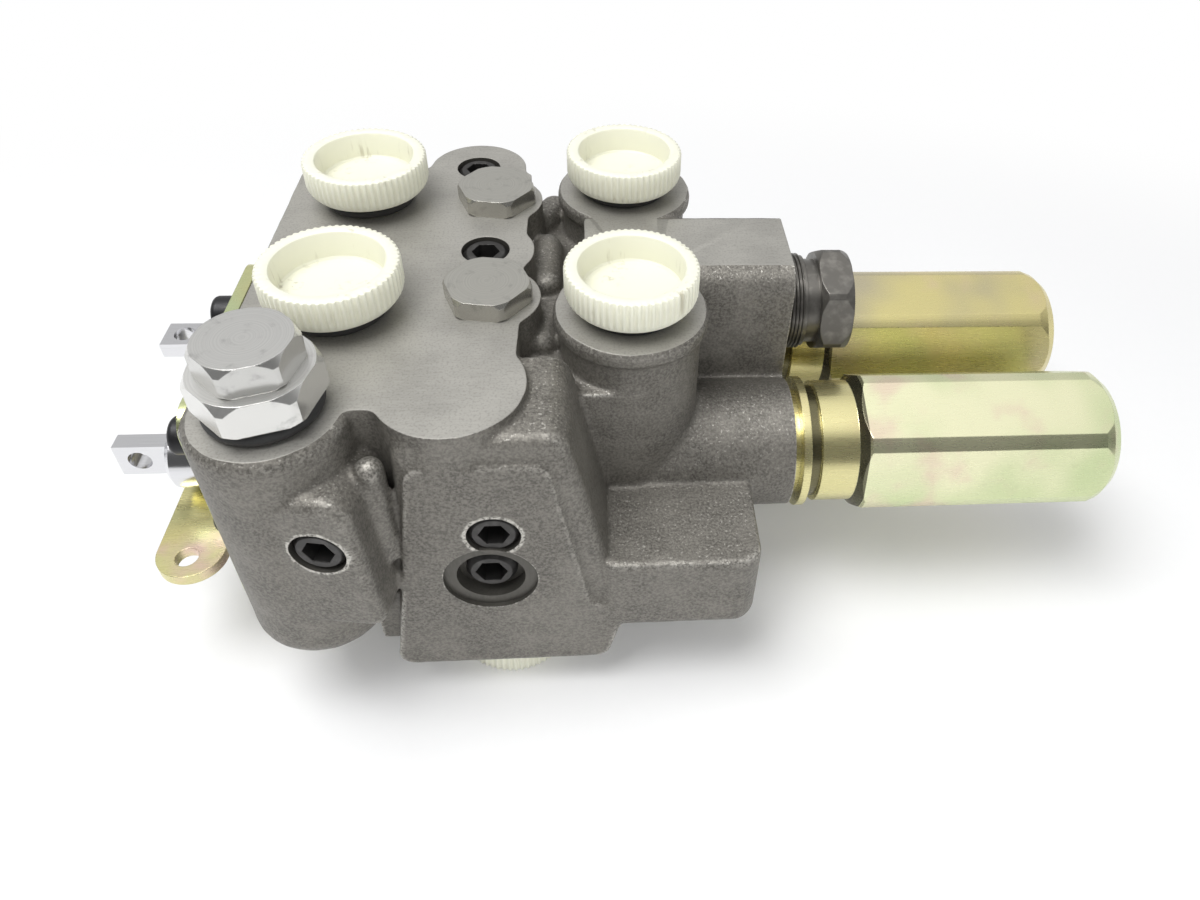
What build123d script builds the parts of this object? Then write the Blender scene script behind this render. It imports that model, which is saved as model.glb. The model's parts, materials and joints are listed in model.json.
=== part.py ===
"""Auxiliary control valve: a two-spool cast iron monoblock with its plugs, relief valve, spring caps and bracket.

Frame: millimetres. X runs along the spools towards the spring caps, Y away from the front, Z up.
The origin is the centre of the four tapped mounting holes, on the machined underside.
"""

import os
from math import cos, radians, sin, sqrt

from build123d import *

os.makedirs("parts", exist_ok=True)

# Overall sizes of the casting
BODY_TOP = 87.0
BODY_LEFT = -60.3
BODY_RIGHT = 83.5
WALL_FRONT = -45.0
WALL_BACK = 54.0
PAD_FRONT = -67.0
PAD_RISE = 1.4
PAD_DEPTH = 6.0
SHOULDER_TOP = BODY_TOP - 2.5
PAD_TOP = BODY_TOP - 9.5
SKIRT_BOTTOM = 14.0
FACING_TOP = BODY_TOP - 4.0
RECESS_FLOOR = BODY_TOP - 13.0
RECESS_LUMPS = ((15.0, 14.0, 90, 27.0), (14.5, 41.0, 62, 18.0), (15.5, -15.0, 80, 20.0))
RECESS_LUMP_WIDTH = 9.0
RECESS_LUMP_TOP = BODY_TOP - 7.5

# Spools: both lie along X, one behind the other
SPOOL_Z = 37.0
FRONT_SPOOL_Y = -21.0
SPOOL_PITCH = 50.0
REAR_SPOOL_Y = FRONT_SPOOL_Y + SPOOL_PITCH
SPOOL_RADIUS = 9.5
SPOOL_FIT = 0.05
SPOOL_BOSS_RADIUS = 18.5
GALLERY_RADIUS = 12.5
GALLERY_WIDTH = 8.0
SPOOL_WAIST_RADIUS = 6.5
SPOOL_LEFT = -87.5
SPOOL_RIGHT = BODY_RIGHT + 4.5
TANG_THICKNESS = 5.0
TANG_HEIGHT = 10.6
TANG_HOLE_RADIUS = 3.15
TANG_HOLE_FROM_END = 6.5
FRONT_TANG_END = -103.0
REAR_TANG_END = -107.0

# Work ports on top
RIGHT_PORT_X = 38.0
LEFT_PORT_X = -34.5
PORT_CENTRES = {
    "front_left": (LEFT_PORT_X, FRONT_SPOOL_Y),
    "front_right": (RIGHT_PORT_X, FRONT_SPOOL_Y),
    "rear_left": (LEFT_PORT_X - 0.8, REAR_SPOOL_Y + 2.6),
    "rear_right": (RIGHT_PORT_X, REAR_SPOOL_Y + 9.3),
}
PORT_BORE_RADIUS = 10.2
PORT_DEPTH = 18.0
PORT_PASSAGE_RADIUS = 7.0
PORT_BOSS_RADIUS = 20.0
PORT_BOSS_RIM = 4.5
PORT_COLUMN_RADIUS = 18.4

# Ports under the body
UNDER_PORT_CENTRES = {"inlet": (4.0, -46.0), "outlet": (RIGHT_PORT_X, 38.0)}

# Screw-in port caps of moulded plastic, each over an O-ring
CAP_RADIUS = 16.9
CAP_HEIGHT = 10.4
CAP_CUP_RADIUS = 13.3
CAP_CUP_DEPTH = 7.6
CAP_SHANK_RADIUS = PORT_BORE_RADIUS - 0.1
CAP_SHANK_LENGTH = 12.0
CAP_RIBS = 60
CAP_RIB_GROOVE = 0.45
CAP_LIP = 1.2
CAP_GAP = 2.6
CAP_SEAL_WIRE = 1.25
CAP_RISE = {"front_left": 1.2, "front_right": 0.0, "rear_left": 1.2, "rear_right": 0.0}

# Load check plugs and check poppets
CHECK_CENTRES = {"front": (1.8, -16.5), "rear": (0.6, 31.3)}
CHECK_HEX_FLATS = 20.2
CHECK_HEX_HEIGHT = 5.2
CHECK_HEX_TURN = -8.0
CHECK_LAND_RADIUS = 11.3
CHECK_HEX_BEVEL = 1.2
CHECK_BORE_RADIUS = 7.4
CHECK_PLUG_LENGTH = 9.0
CHECK_SEAT_Z = BODY_TOP - 28.0
CHECK_PASSAGE_RADIUS = 4.6
CHECK_POPPET_LENGTH = 12.0
CHECK_POPPET_FLOOR = 5.0
CHECK_SPRING_SEAT_RADIUS = 5.6
CHECK_COIL_RADIUS = 4.4
CHECK_WIRE_RADIUS = 0.6
CHECK_SPRING_PITCH = 2.8
POPPET_FIT = 0.05

# Flush plugs with hex sockets
SOCKET_PLUG_RADIUS = 6.4
SOCKET_PLUG_LENGTH = 9.0
SOCKET_FLATS = 6.6
SOCKET_DEPTH = 5.5
PLUG_EDGE = 1.3
TOP_PLUG_CENTRES = ((-0.7, 4.9), (-6.3, 50.2))
THREAD_GAP = 0.08
FRONT_PLUG_CENTRE = (4.0, 53.7)
PILOT_PLUG_CENTRE = (2.0, 37.0)
PILOT_SPOTFACE_RADIUS = 11.7
PILOT_SPOTFACE_DEPTH = 1.2
PILOT_HOLE_RADIUS = 8.5
PILOT_HOLE_DEPTH = 5.0
PILOT_PLUG_RADIUS = 6.4

# Front left gallery boss, turned a little about the vertical
SIDE_BOSS_X = -33.5
SIDE_BOSS_FRONT = -75.6
SIDE_BOSS_TURN = -9.0
SIDE_BOSS_WIDTH = 23.0
SIDE_BOSS_CROWN_WIDTH = 18.0
SIDE_BOSS_DEPTH = 24.0
SIDE_BOSS_BOTTOM = 32.0
SIDE_BOSS_TOP = BODY_TOP - 10.5
SIDE_PLUG_Z = 60.0
RIB_CENTRE = (-21.8, -64.2)
RIB_RADIUS = 3.4
RIB_TOP = BODY_TOP - 9.0

# Relief valve at the front left corner
RELIEF_X = -43.0
RELIEF_Y = -56.4
RELIEF_COLUMN_RADIUS = 17.8
RELIEF_RING_RADIUS = 15.3
RELIEF_BORE_RADIUS = 9.0
RELIEF_SEAT_Z = BODY_TOP - 35.0
RELIEF_PASSAGE_RADIUS = 4.0
RELIEF_TURN = 17.0
ADAPTER_FLATS = 25.4
ADAPTER_LAND_RADIUS = 14.2
ADAPTER_BEVEL = 2.2
ADAPTER_SHANK_LENGTH = 14.0
ADAPTER_HEX_BOTTOM = BODY_TOP + 4.2
ADAPTER_HEX_TOP = BODY_TOP + 12.6
RELIEF_CAP_FLATS = 20.0
RELIEF_CAP_LAND_RADIUS = 11.2
RELIEF_CAP_BEVEL = 1.9
RELIEF_CAP_TOP = BODY_TOP + 20.0
RELIEF_STEM_RADIUS = 5.0
ADAPTER_BORE_RADIUS = 6.5
ADJUSTER_TOP = BODY_TOP + 8.0
ADJUSTER_LENGTH = 4.0
RELIEF_GUIDE_BOTTOM = BODY_TOP - 12.5
RELIEF_GUIDE_TOP = BODY_TOP - 8.0
RELIEF_COIL_RADIUS = 4.6
RELIEF_WIRE_RADIUS = 0.9
RELIEF_SPRING_PITCH = 3.2

# Plug in the right end face
BEYOND_PLUG_Y = 9.0
BEYOND_PLUG_Z = BODY_TOP - 21.0
BEYOND_THREAD_RADIUS = 13.5
BEYOND_THREAD_DEPTH = 14.0
BEYOND_EXPOSED = 6.1
BEYOND_NECK = 3.7
BEYOND_HEX_LENGTH = 9.5
BEYOND_HEX_FLATS = 28.6
BEYOND_HEX_TURN = 20.0
BEYOND_LAND_RADIUS = 16.0
BEYOND_HEX_BEVEL = 2.6
BEYOND_FOOT_BEVEL = 1.6
BEYOND_NECK_RADIUS = 12.4
BEYOND_BLOCK_HALF_WIDTH = 17.0
BEYOND_BLOCK_LEFT = 26.0

# Spring caps screwed into the right end of each spool bore
SPRING_CAP_FLATS = 38.1
SPRING_CAP_LAND_RADIUS = SPRING_CAP_FLATS / 2 + 1.85
SPRING_CAP_THREAD_RADIUS = 15.0
SPRING_CAP_THREAD_DEPTH = 12.0
SPRING_CAP_COLLAR_RADIUS = 17.6
SPRING_CAP_RING_RADIUS = 18.9
SPRING_CAP_GROOVE_RADIUS = 16.2
SPRING_CAP_RING_START = BODY_RIGHT + 2.2
SPRING_CAP_RING_END = BODY_RIGHT + 4.4
SPRING_CAP_GROOVE_END = BODY_RIGHT + 7.8
SPRING_CAP_HEX_START = BODY_RIGHT + 18.2
SPRING_CAP_HEX_CHAMFER = 2.8
SPRING_CAP_END = BODY_RIGHT + 94.5
SPRING_CAP_END_RADIUS = 17.4
SPRING_CAP_END_CHAMFER = 6.0
SPRING_CAP_BORE_RADIUS = SPRING_CAP_THREAD_RADIUS - 2.2
SPRING_CAP_END_WALL = 7.0
FRONT_CAP_TURN = 19.9
REAR_CAP_TURN = 11.2

# Centring spring packs inside the spring caps, carried on a stem bolt in each spool's end
STEM_RADIUS = 4.0
STEM_THREAD = 14.0
STEM_HEAD_RADIUS = 6.5
STEM_HEAD_LENGTH = 6.0
SEAT_RADIUS = SPRING_CAP_BORE_RADIUS - 1.0
SEAT_THICKNESS = 3.0
SPRING_WIRE_RADIUS = 1.5
SPRING_COIL_RADIUS = SEAT_RADIUS - 2.8
SPRING_PITCH = 7.0
SPRING_LENGTH = 60.0
SEAT_GAP = 0.05

# Link bracket on the left end
BRACKET_THICKNESS = 3.2
BRACKET_TOP = BODY_TOP - 3.0
BRACKET_FRONT = -57.0
BRACKET_REAR = 7.0
EAR_TOP = 25.8
EAR_LEFT = -88.0
EAR_TIP_CENTRE = (-79.2, -46.0)
EAR_TIP_RADIUS = 8.8
EAR_HOLE_CENTRE = (-79.7, -48.3)
EAR_HOLE_RADIUS = 3.0
SCREW_POINTS = ((-12.0, BODY_TOP - 8.0), (-50.0, BODY_TOP - 14.0), (-46.0, 40.0))
SCREW_HEAD_RADIUS = 4.6
SCREW_HEAD_HEIGHT = 5.0
SCREW_SHANK_RADIUS = 2.7
SCREW_LENGTH = 10.0
SCREW_SOCKET_FLATS = 4.0
SCREW_SOCKET_DEPTH = 2.6

# Seals
WIPER_LENGTH = 3.0
WIPER_OUTER_RADIUS = 12.0
SPOOL_SEAL_WIDTH = 2.6
SPOOL_SEAL_PLACES = (-52.0, 60.0)
CHECK_SEAL_WIRE = 0.9
RELIEF_SEAL_WIRE = 1.95
SEAL_FIT = 0.05

# Tapped mounting holes in the underside
MOUNT_SPACING_X = 52.0
MOUNT_SPACING_Y = 30.0
MOUNT_HOLE_RADIUS = 4.0
MOUNT_HOLE_DEPTH = 15.0


def across_corners(flats):
    """Radius of the circle through a hexagon's corners."""
    return flats / sqrt(3)


def upward(x, y, z):
    """Plane at a point, its normal along +Z."""
    return Plane((x, y, z))


def endward(x, y, z):
    """Plane at a point, its normal along +X and its own x axis along +Y."""
    return Plane((x, y, z), x_dir=(0, 1, 0), z_dir=(1, 0, 0))


def frontward(x, y, z, turn=0.0):
    """Plane at a point, its normal facing the front, turned about the vertical by some degrees."""
    a = radians(turn)
    return Plane((x, y, z), x_dir=(cos(a), sin(a), 0), z_dir=(sin(a), -cos(a), 0))


def outline(plane, *points):
    """Closed face through points on a plane."""
    with BuildSketch(plane) as sketch:
        with BuildLine():
            Polyline(*points, close=True)
        make_face()
    return sketch.sketch


def disc(plane, radius):
    """Round face on a plane."""
    with BuildSketch(plane) as sketch:
        Circle(radius)
    return sketch.sketch


def hexagon(plane, flats, turn=0.0):
    """Hexagonal face on a plane, a corner on the plane's x axis when turn is 0."""
    with BuildSketch(plane) as sketch:
        RegularPolygon(across_corners(flats), 6, rotation=turn)
    return sketch.sketch


def lengthwise(y, z):
    """Plane for profiles that are turned about a line along X: its x is X and its y is the radius."""
    return Plane((0, y, z), x_dir=(1, 0, 0), z_dir=(0, -1, 0))


def axis_x(y, z):
    return Axis((0, y, z), (1, 0, 0))


def axis_z(x, y):
    return Axis((x, y, 0), (0, 0, 1))


def finish(piece, name):
    """Label a finished piece and write it to its own file."""
    piece.part.label = name
    export_step(piece.part, f"parts/{name}.step")


# Casting: left block, whose outline on top is the milled platform
with BuildPart() as left_block:
    with BuildSketch(upward(0, 0, SKIRT_BOTTOM)):
        with Locations(((BODY_LEFT + 12) / 2, (WALL_FRONT + WALL_BACK) / 2 - 4)):
            Rectangle(12 - BODY_LEFT - 4, WALL_BACK - WALL_FRONT - 8)
        with Locations((RELIEF_X, RELIEF_Y)):
            Circle(RELIEF_RING_RADIUS)
        with Locations((-29, -50)):
            Rectangle(30, 15)
        with Locations((-4.5, -49.5)):
            Circle(17.5)
        with Locations(TOP_PLUG_CENTRES[1]):
            Circle(14.4)
        with Locations(TOP_PLUG_CENTRES[0], CHECK_CENTRES["front"], CHECK_CENTRES["rear"]):
            Circle(13.2)
        with Locations(PORT_CENTRES["front_left"], PORT_CENTRES["rear_left"]):
            Circle(PORT_BOSS_RADIUS)
        offset(amount=3.5, kind=Kind.ARC)
        offset(amount=-3.5, kind=Kind.ARC)
    extrude(amount=BODY_TOP - SKIRT_BOTTOM)
    fillet(left_block.faces().sort_by(Axis.Z)[0].edges(), 3.0)

# Casting: round column under the relief valve
with BuildPart() as relief_column:
    extrude(disc(upward(RELIEF_X, RELIEF_Y, SKIRT_BOTTOM), RELIEF_COLUMN_RADIUS), amount=BODY_TOP - SKIRT_BOTTOM)
    fillet(relief_column.edges().group_by(Axis.Z)[-1], RELIEF_COLUMN_RADIUS - RELIEF_RING_RADIUS - 0.1)
    fillet(relief_column.edges().group_by(Axis.Z)[0], 8.0)

# Casting: front block with a rounded shoulder, and the raised pad on it, both wider at the foot
with BuildPart() as front_block:
    with BuildSketch(frontward(0, PAD_FRONT + PAD_RISE, 0)) as shoulder_outline:
        with BuildLine():
            Polyline(
                (-16.5, SHOULDER_TOP), (22, SHOULDER_TOP), (31, 42), (34, 14), (31, 0), (-26, 0), (-18, 60), close=True
            )
        make_face()
        fillet(shoulder_outline.vertices().group_by(Axis.Y)[-1], 6.0)
        fillet(shoulder_outline.vertices().group_by(Axis.Y)[0], 4.0)
    extrude(amount=PAD_FRONT + PAD_RISE - WALL_FRONT - 8)
    fillet(front_block.faces().sort_by(Axis.Y)[0].edges(), 3.2)

with BuildPart() as front_pad:
    with BuildSketch(frontward(0, PAD_FRONT, 0)) as pad_outline:
        with BuildLine():
            Polyline((-14, PAD_TOP), (18, PAD_TOP), (26.8, 26), (34, 22), (34, 12), (31, 0), (-26, 0), (-20, 36), close=True)
        make_face()
        fillet(pad_outline.vertices().group_by(Axis.Y)[-1], 4.5)
        fillet(pad_outline.vertices().group_by(Axis.Y)[0], 4.0)
    extrude(amount=-PAD_DEPTH)
    fillet(front_pad.faces().sort_by(Axis.Y)[0].edges(), 0.9)

# Casting: rounded top ring of a right work port, on its slimmer column
def port_column(x, y):
    """Column under a right work port with a wider, rounded rim at its top."""
    with BuildPart() as rim:
        extrude(disc(upward(x, y, BODY_TOP - PORT_BOSS_RIM), PORT_BOSS_RADIUS), amount=PORT_BOSS_RIM)
        fillet(rim.edges().group_by(Axis.Z)[-1], 1.4)
        fillet(rim.edges().group_by(Axis.Z)[0], 1.5)
        extrude(disc(upward(x, y, SPOOL_Z), PORT_COLUMN_RADIUS), amount=BODY_TOP - SPOOL_Z - 2)
    return rim.part


# Casting: turned gallery boss at the front left, narrower at its crown, with a short rib beside it
with BuildPart() as side_boss:
    with BuildSketch(frontward(SIDE_BOSS_X, SIDE_BOSS_FRONT, 0, SIDE_BOSS_TURN)) as boss_outline:
        with BuildLine():
            Polyline(
                (-SIDE_BOSS_WIDTH / 2 + 2, SIDE_BOSS_BOTTOM),
                (SIDE_BOSS_WIDTH / 2, SIDE_BOSS_BOTTOM),
                (SIDE_BOSS_CROWN_WIDTH / 2, SIDE_BOSS_TOP),
                (-SIDE_BOSS_CROWN_WIDTH / 2, SIDE_BOSS_TOP),
                close=True,
            )
        make_face()
        fillet(boss_outline.vertices().group_by(Axis.Y)[-1], 7.0)
        fillet(boss_outline.vertices().group_by(Axis.Y)[0], 4.0)
    extrude(amount=-SIDE_BOSS_DEPTH)
    fillet(side_boss.faces().sort_by(Axis.Y)[0].edges(), 3.0)

with BuildPart() as side_rib:
    extrude(disc(upward(*RIB_CENTRE, SIDE_BOSS_BOTTOM + 12), RIB_RADIUS), amount=RIB_TOP - SIDE_BOSS_BOTTOM - 12)
    fillet(side_rib.edges().group_by(Axis.Z)[-1], RIB_RADIUS - 0.2)
    fillet(side_rib.edges().group_by(Axis.Z)[0], RIB_RADIUS - 0.2)

# Casting: lower block that joins the front wall, the spool bosses and the outlet
with BuildPart() as lower_block:
    with BuildSketch(upward(0, 0, 12)) as block_outline:
        with Locations(((28 + 71) / 2, (PAD_FRONT + 55) / 2)):
            Rectangle(71 - 28, 55 - PAD_FRONT)
        fillet(block_outline.vertices(), 6.0)
    extrude(amount=28)
    fillet(lower_block.faces().sort_by(Axis.Z)[-1].edges(), 1.5)
    fillet(lower_block.faces().sort_by(Axis.Z)[0].edges(), 5.0)

# Casting: foot under the left block, down to the milled underside
with BuildPart() as foot:
    with BuildSketch(upward(0, 0, 0)) as foot_outline:
        with Locations((2, (PAD_FRONT + 56) / 2 + 4)):
            Rectangle(66, 56 - PAD_FRONT - 8)
        with Locations((-38, 6)):
            Rectangle(30, 66)
        with Locations(UNDER_PORT_CENTRES["outlet"]):
            Circle(PORT_BOSS_RADIUS)
        offset(amount=3.0, kind=Kind.ARC)
        offset(amount=-3.0, kind=Kind.ARC)
    extrude(amount=SKIRT_BOTTOM + 8)
    fillet(foot.faces().sort_by(Axis.Z)[0].edges(), 2.0)

# Casting: long lumps that rise out of the floor between the platform and the right ports
def recess_lump(x, y, turn, length):
    """Long lump with a rounded back, turned about the vertical by some degrees."""
    with BuildPart() as lump:
        with BuildSketch(Plane((x, y, RECESS_FLOOR - 8))):
            SlotOverall(length, RECESS_LUMP_WIDTH, rotation=turn)
        extrude(amount=RECESS_LUMP_TOP - RECESS_FLOOR + 8)
        fillet(lump.faces().sort_by(Axis.Z)[-1].edges(), RECESS_LUMP_WIDTH / 2 - 0.6)
    return lump.part


# Casting: everything joined, with the two spool bosses, the right columns and the end block
with BuildPart() as valve_body:
    add(left_block.part)
    add(relief_column.part)
    add(front_block.part)
    add(front_pad.part)
    add(side_boss.part)
    add(side_rib.part)
    add(lower_block.part)
    add(foot.part)
    with BuildSketch(endward(BODY_LEFT, (BRACKET_FRONT + 8) / 2, (EAR_TOP + FACING_TOP) / 2)) as left_facing:
        RectangleRounded(8 - BRACKET_FRONT, FACING_TOP - EAR_TOP, 5)
    extrude(amount=10)
    with BuildSketch(endward(BODY_LEFT, 0, BODY_TOP / 2)):
        Rectangle(300, 2 * BODY_TOP)
    extrude(amount=-10, mode=Mode.SUBTRACT)
    for spool_y in (FRONT_SPOOL_Y, REAR_SPOOL_Y):
        boss = disc(endward(BODY_LEFT, spool_y, SPOOL_Z), SPOOL_BOSS_RADIUS)
        extrude(boss, amount=BODY_RIGHT - BODY_LEFT)
    for name in ("front_right", "rear_right"):
        add(port_column(*PORT_CENTRES[name]))
    with BuildSketch(upward(0, 0, SKIRT_BOTTOM + 6)) as web_outline:
        with Locations((24, 4)):
            Rectangle(44, 2 * 44)
        fillet(web_outline.vertices(), 8.0)
    extrude(amount=RECESS_FLOOR - SKIRT_BOTTOM - 6)
    for lump_x, lump_y, lump_turn, lump_length in RECESS_LUMPS:
        add(recess_lump(lump_x, lump_y, lump_turn, lump_length))
    with BuildSketch(endward(BEYOND_BLOCK_LEFT, BEYOND_PLUG_Y, 0)) as end_outline:
        with Locations((0, (SPOOL_Z + BODY_TOP) / 2)):
            Rectangle(2 * BEYOND_BLOCK_HALF_WIDTH, BODY_TOP - SPOOL_Z)
        fillet(end_outline.vertices().group_by(Axis.Y)[-1], 6.5)
    extrude(amount=BODY_RIGHT - BEYOND_BLOCK_LEFT)

    # Spool bores with their annular galleries
    for spool_y in (FRONT_SPOOL_Y, REAR_SPOOL_Y):
        bore = disc(endward(BODY_LEFT - 1, spool_y, SPOOL_Z), SPOOL_RADIUS + SPOOL_FIT)
        extrude(bore, amount=BODY_RIGHT - BODY_LEFT + 2, mode=Mode.SUBTRACT)
        for gallery_x in (LEFT_PORT_X, CHECK_CENTRES["front"][0], RIGHT_PORT_X):
            gallery = disc(endward(gallery_x - GALLERY_WIDTH / 2, spool_y, SPOOL_Z), GALLERY_RADIUS)
            extrude(gallery, amount=GALLERY_WIDTH, mode=Mode.SUBTRACT)
        socket = disc(endward(BODY_RIGHT - SPRING_CAP_THREAD_DEPTH - 1, spool_y, SPOOL_Z), SPRING_CAP_THREAD_RADIUS)
        extrude(socket, amount=SPRING_CAP_THREAD_DEPTH + 2, mode=Mode.SUBTRACT)
        wiper = disc(endward(BODY_LEFT - 1, spool_y, SPOOL_Z), WIPER_OUTER_RADIUS)
        extrude(wiper, amount=1 + WIPER_LENGTH, mode=Mode.SUBTRACT)
        for seal_x in SPOOL_SEAL_PLACES:
            groove = disc(endward(seal_x, spool_y, SPOOL_Z), WIPER_OUTER_RADIUS)
            extrude(groove, amount=SPOOL_SEAL_WIDTH, mode=Mode.SUBTRACT)

    # Work ports, each with a passage down to its gallery
    for port_x, port_y in PORT_CENTRES.values():
        thread = disc(upward(port_x, port_y, BODY_TOP + 1), PORT_BORE_RADIUS)
        extrude(thread, amount=-(PORT_DEPTH + 1), mode=Mode.SUBTRACT)
        passage = disc(upward(port_x, port_y, BODY_TOP - PORT_DEPTH), PORT_PASSAGE_RADIUS)
        extrude(passage, amount=SPOOL_Z + GALLERY_RADIUS - 3 - BODY_TOP + PORT_DEPTH, mode=Mode.SUBTRACT)

    # Inlet and outlet ports in the underside
    for port_x, port_y in UNDER_PORT_CENTRES.values():
        thread = disc(upward(port_x, port_y, -1), PORT_BORE_RADIUS)
        extrude(thread, amount=PORT_DEPTH + 1, mode=Mode.SUBTRACT)

    # Check bores down to the middle gallery
    for check_x, check_y in CHECK_CENTRES.values():
        chamber = disc(upward(check_x, check_y, BODY_TOP + 1), CHECK_BORE_RADIUS)
        extrude(chamber, amount=CHECK_SEAT_Z - BODY_TOP - 1, mode=Mode.SUBTRACT)
        passage = disc(upward(check_x, check_y, CHECK_SEAT_Z), CHECK_PASSAGE_RADIUS)
        extrude(passage, amount=SPOOL_Z + GALLERY_RADIUS - 2 - CHECK_SEAT_Z, mode=Mode.SUBTRACT)
        recess = disc(upward(check_x, check_y, BODY_TOP + 1), CHECK_BORE_RADIUS + 2 * CHECK_SEAL_WIRE + 0.2)
        extrude(recess, amount=-(2 * CHECK_SEAL_WIRE + 1.1), mode=Mode.SUBTRACT)

    # Relief chamber
    chamber = disc(upward(RELIEF_X, RELIEF_Y, BODY_TOP + 1), RELIEF_BORE_RADIUS)
    extrude(chamber, amount=RELIEF_SEAT_Z - BODY_TOP - 1, mode=Mode.SUBTRACT)
    passage = disc(upward(RELIEF_X, RELIEF_Y, RELIEF_SEAT_Z), RELIEF_PASSAGE_RADIUS)
    extrude(passage, amount=-14, mode=Mode.SUBTRACT)

    # Holes for the flush plugs
    for plug_x, plug_y in TOP_PLUG_CENTRES:
        hole = disc(upward(plug_x, plug_y, BODY_TOP + 1), SOCKET_PLUG_RADIUS + THREAD_GAP)
        extrude(hole, amount=-(SOCKET_PLUG_LENGTH + 4), mode=Mode.SUBTRACT)
    hole = disc(frontward(FRONT_PLUG_CENTRE[0], PAD_FRONT - 1, FRONT_PLUG_CENTRE[1]), SOCKET_PLUG_RADIUS + THREAD_GAP)
    extrude(hole, amount=-(SOCKET_PLUG_LENGTH + 5), mode=Mode.SUBTRACT)
    side_face = frontward(SIDE_BOSS_X, SIDE_BOSS_FRONT, SIDE_PLUG_Z, SIDE_BOSS_TURN)
    hole = disc(side_face.offset(1), SOCKET_PLUG_RADIUS + THREAD_GAP)
    extrude(hole, amount=-(SOCKET_PLUG_LENGTH + 1.5), mode=Mode.SUBTRACT)
    hole = disc(frontward(PILOT_PLUG_CENTRE[0], PAD_FRONT - 1, PILOT_PLUG_CENTRE[1]), PILOT_SPOTFACE_RADIUS)
    extrude(hole, amount=-(PILOT_SPOTFACE_DEPTH + 1), mode=Mode.SUBTRACT)
    hole = disc(frontward(PILOT_PLUG_CENTRE[0], PAD_FRONT - 1, PILOT_PLUG_CENTRE[1]), PILOT_HOLE_RADIUS)
    extrude(hole, amount=-(PILOT_HOLE_DEPTH + 1), mode=Mode.SUBTRACT)
    hole = disc(frontward(PILOT_PLUG_CENTRE[0], PAD_FRONT, PILOT_PLUG_CENTRE[1]), PILOT_PLUG_RADIUS + THREAD_GAP)
    extrude(hole, amount=-14, mode=Mode.SUBTRACT)

    # Threaded hole in the right end face
    hole = disc(endward(BODY_RIGHT + 1, BEYOND_PLUG_Y, BEYOND_PLUG_Z), BEYOND_THREAD_RADIUS + THREAD_GAP)
    extrude(hole, amount=-(BEYOND_THREAD_DEPTH + 6), mode=Mode.SUBTRACT)

    # Tapped holes for the bracket screws and for mounting
    for screw_y, screw_z in SCREW_POINTS:
        hole = disc(endward(BODY_LEFT - 1, screw_y, screw_z), SCREW_SHANK_RADIUS + THREAD_GAP)
        extrude(hole, amount=SCREW_LENGTH - BRACKET_THICKNESS + 2, mode=Mode.SUBTRACT)
    with Locations(upward(0, 0, 0)):
        with GridLocations(MOUNT_SPACING_X, MOUNT_SPACING_Y, 2, 2):
            Cylinder(MOUNT_HOLE_RADIUS, 2 * MOUNT_HOLE_DEPTH, mode=Mode.SUBTRACT)

finish(valve_body, "valve_body")


def across_plane(x, y, z, facing=1):
    """Plane for profiles turned about a vertical line: its x is the radius and its y the height."""
    return Plane((x, y, z), x_dir=(1, 0, 0), z_dir=(0, -facing, 0))


def socket_plug(plane, radius, length, flats, depth):
    """Threaded plug whose face lies on a plane, with a hex socket in it."""
    with BuildPart() as plug:
        extrude(disc(plane, radius), amount=-length)
        chamfer(plug.edges().filter_by(GeomType.CIRCLE), PLUG_EDGE)
        extrude(hexagon(plane, flats), amount=-depth, mode=Mode.SUBTRACT)
    return plug.part


def hexagonal_head(plane, flats, turn, height, land_radius, bevel, foot_bevel=0.5):
    """Hexagon standing on a plane, its corners turned to a land and its top bevelled at thirty degrees."""
    with BuildPart() as head:
        extrude(disc(plane, land_radius), amount=height)
        rims = head.edges().filter_by(GeomType.CIRCLE).sort_by(lambda rim: plane.to_local_coords(rim.center()).Z)
        top_face = head.faces().sort_by(lambda side: plane.to_local_coords(side.center()).Z)[-1]
        chamfer(rims[-1], bevel * 0.577, bevel, reference=top_face)
        chamfer(rims[0], foot_bevel)
        extrude(hexagon(plane, flats, turn), amount=height, mode=Mode.INTERSECT)
    return head.part


def coil_spring(foot, direction, length, coil_radius, wire_radius, pitch):
    """Helical spring of one wire, standing on a point."""
    start = foot + direction * wire_radius
    with BuildPart() as spring:
        with BuildLine() as path:
            Helix(pitch, length - 2 * wire_radius, coil_radius, center=start, direction=direction)
        with BuildSketch(Plane(origin=path.line @ 0, z_dir=path.line % 0)):
            RegularPolygon(wire_radius, 6)
        sweep(path=path.line, is_frenet=True)
    return spring


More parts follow.
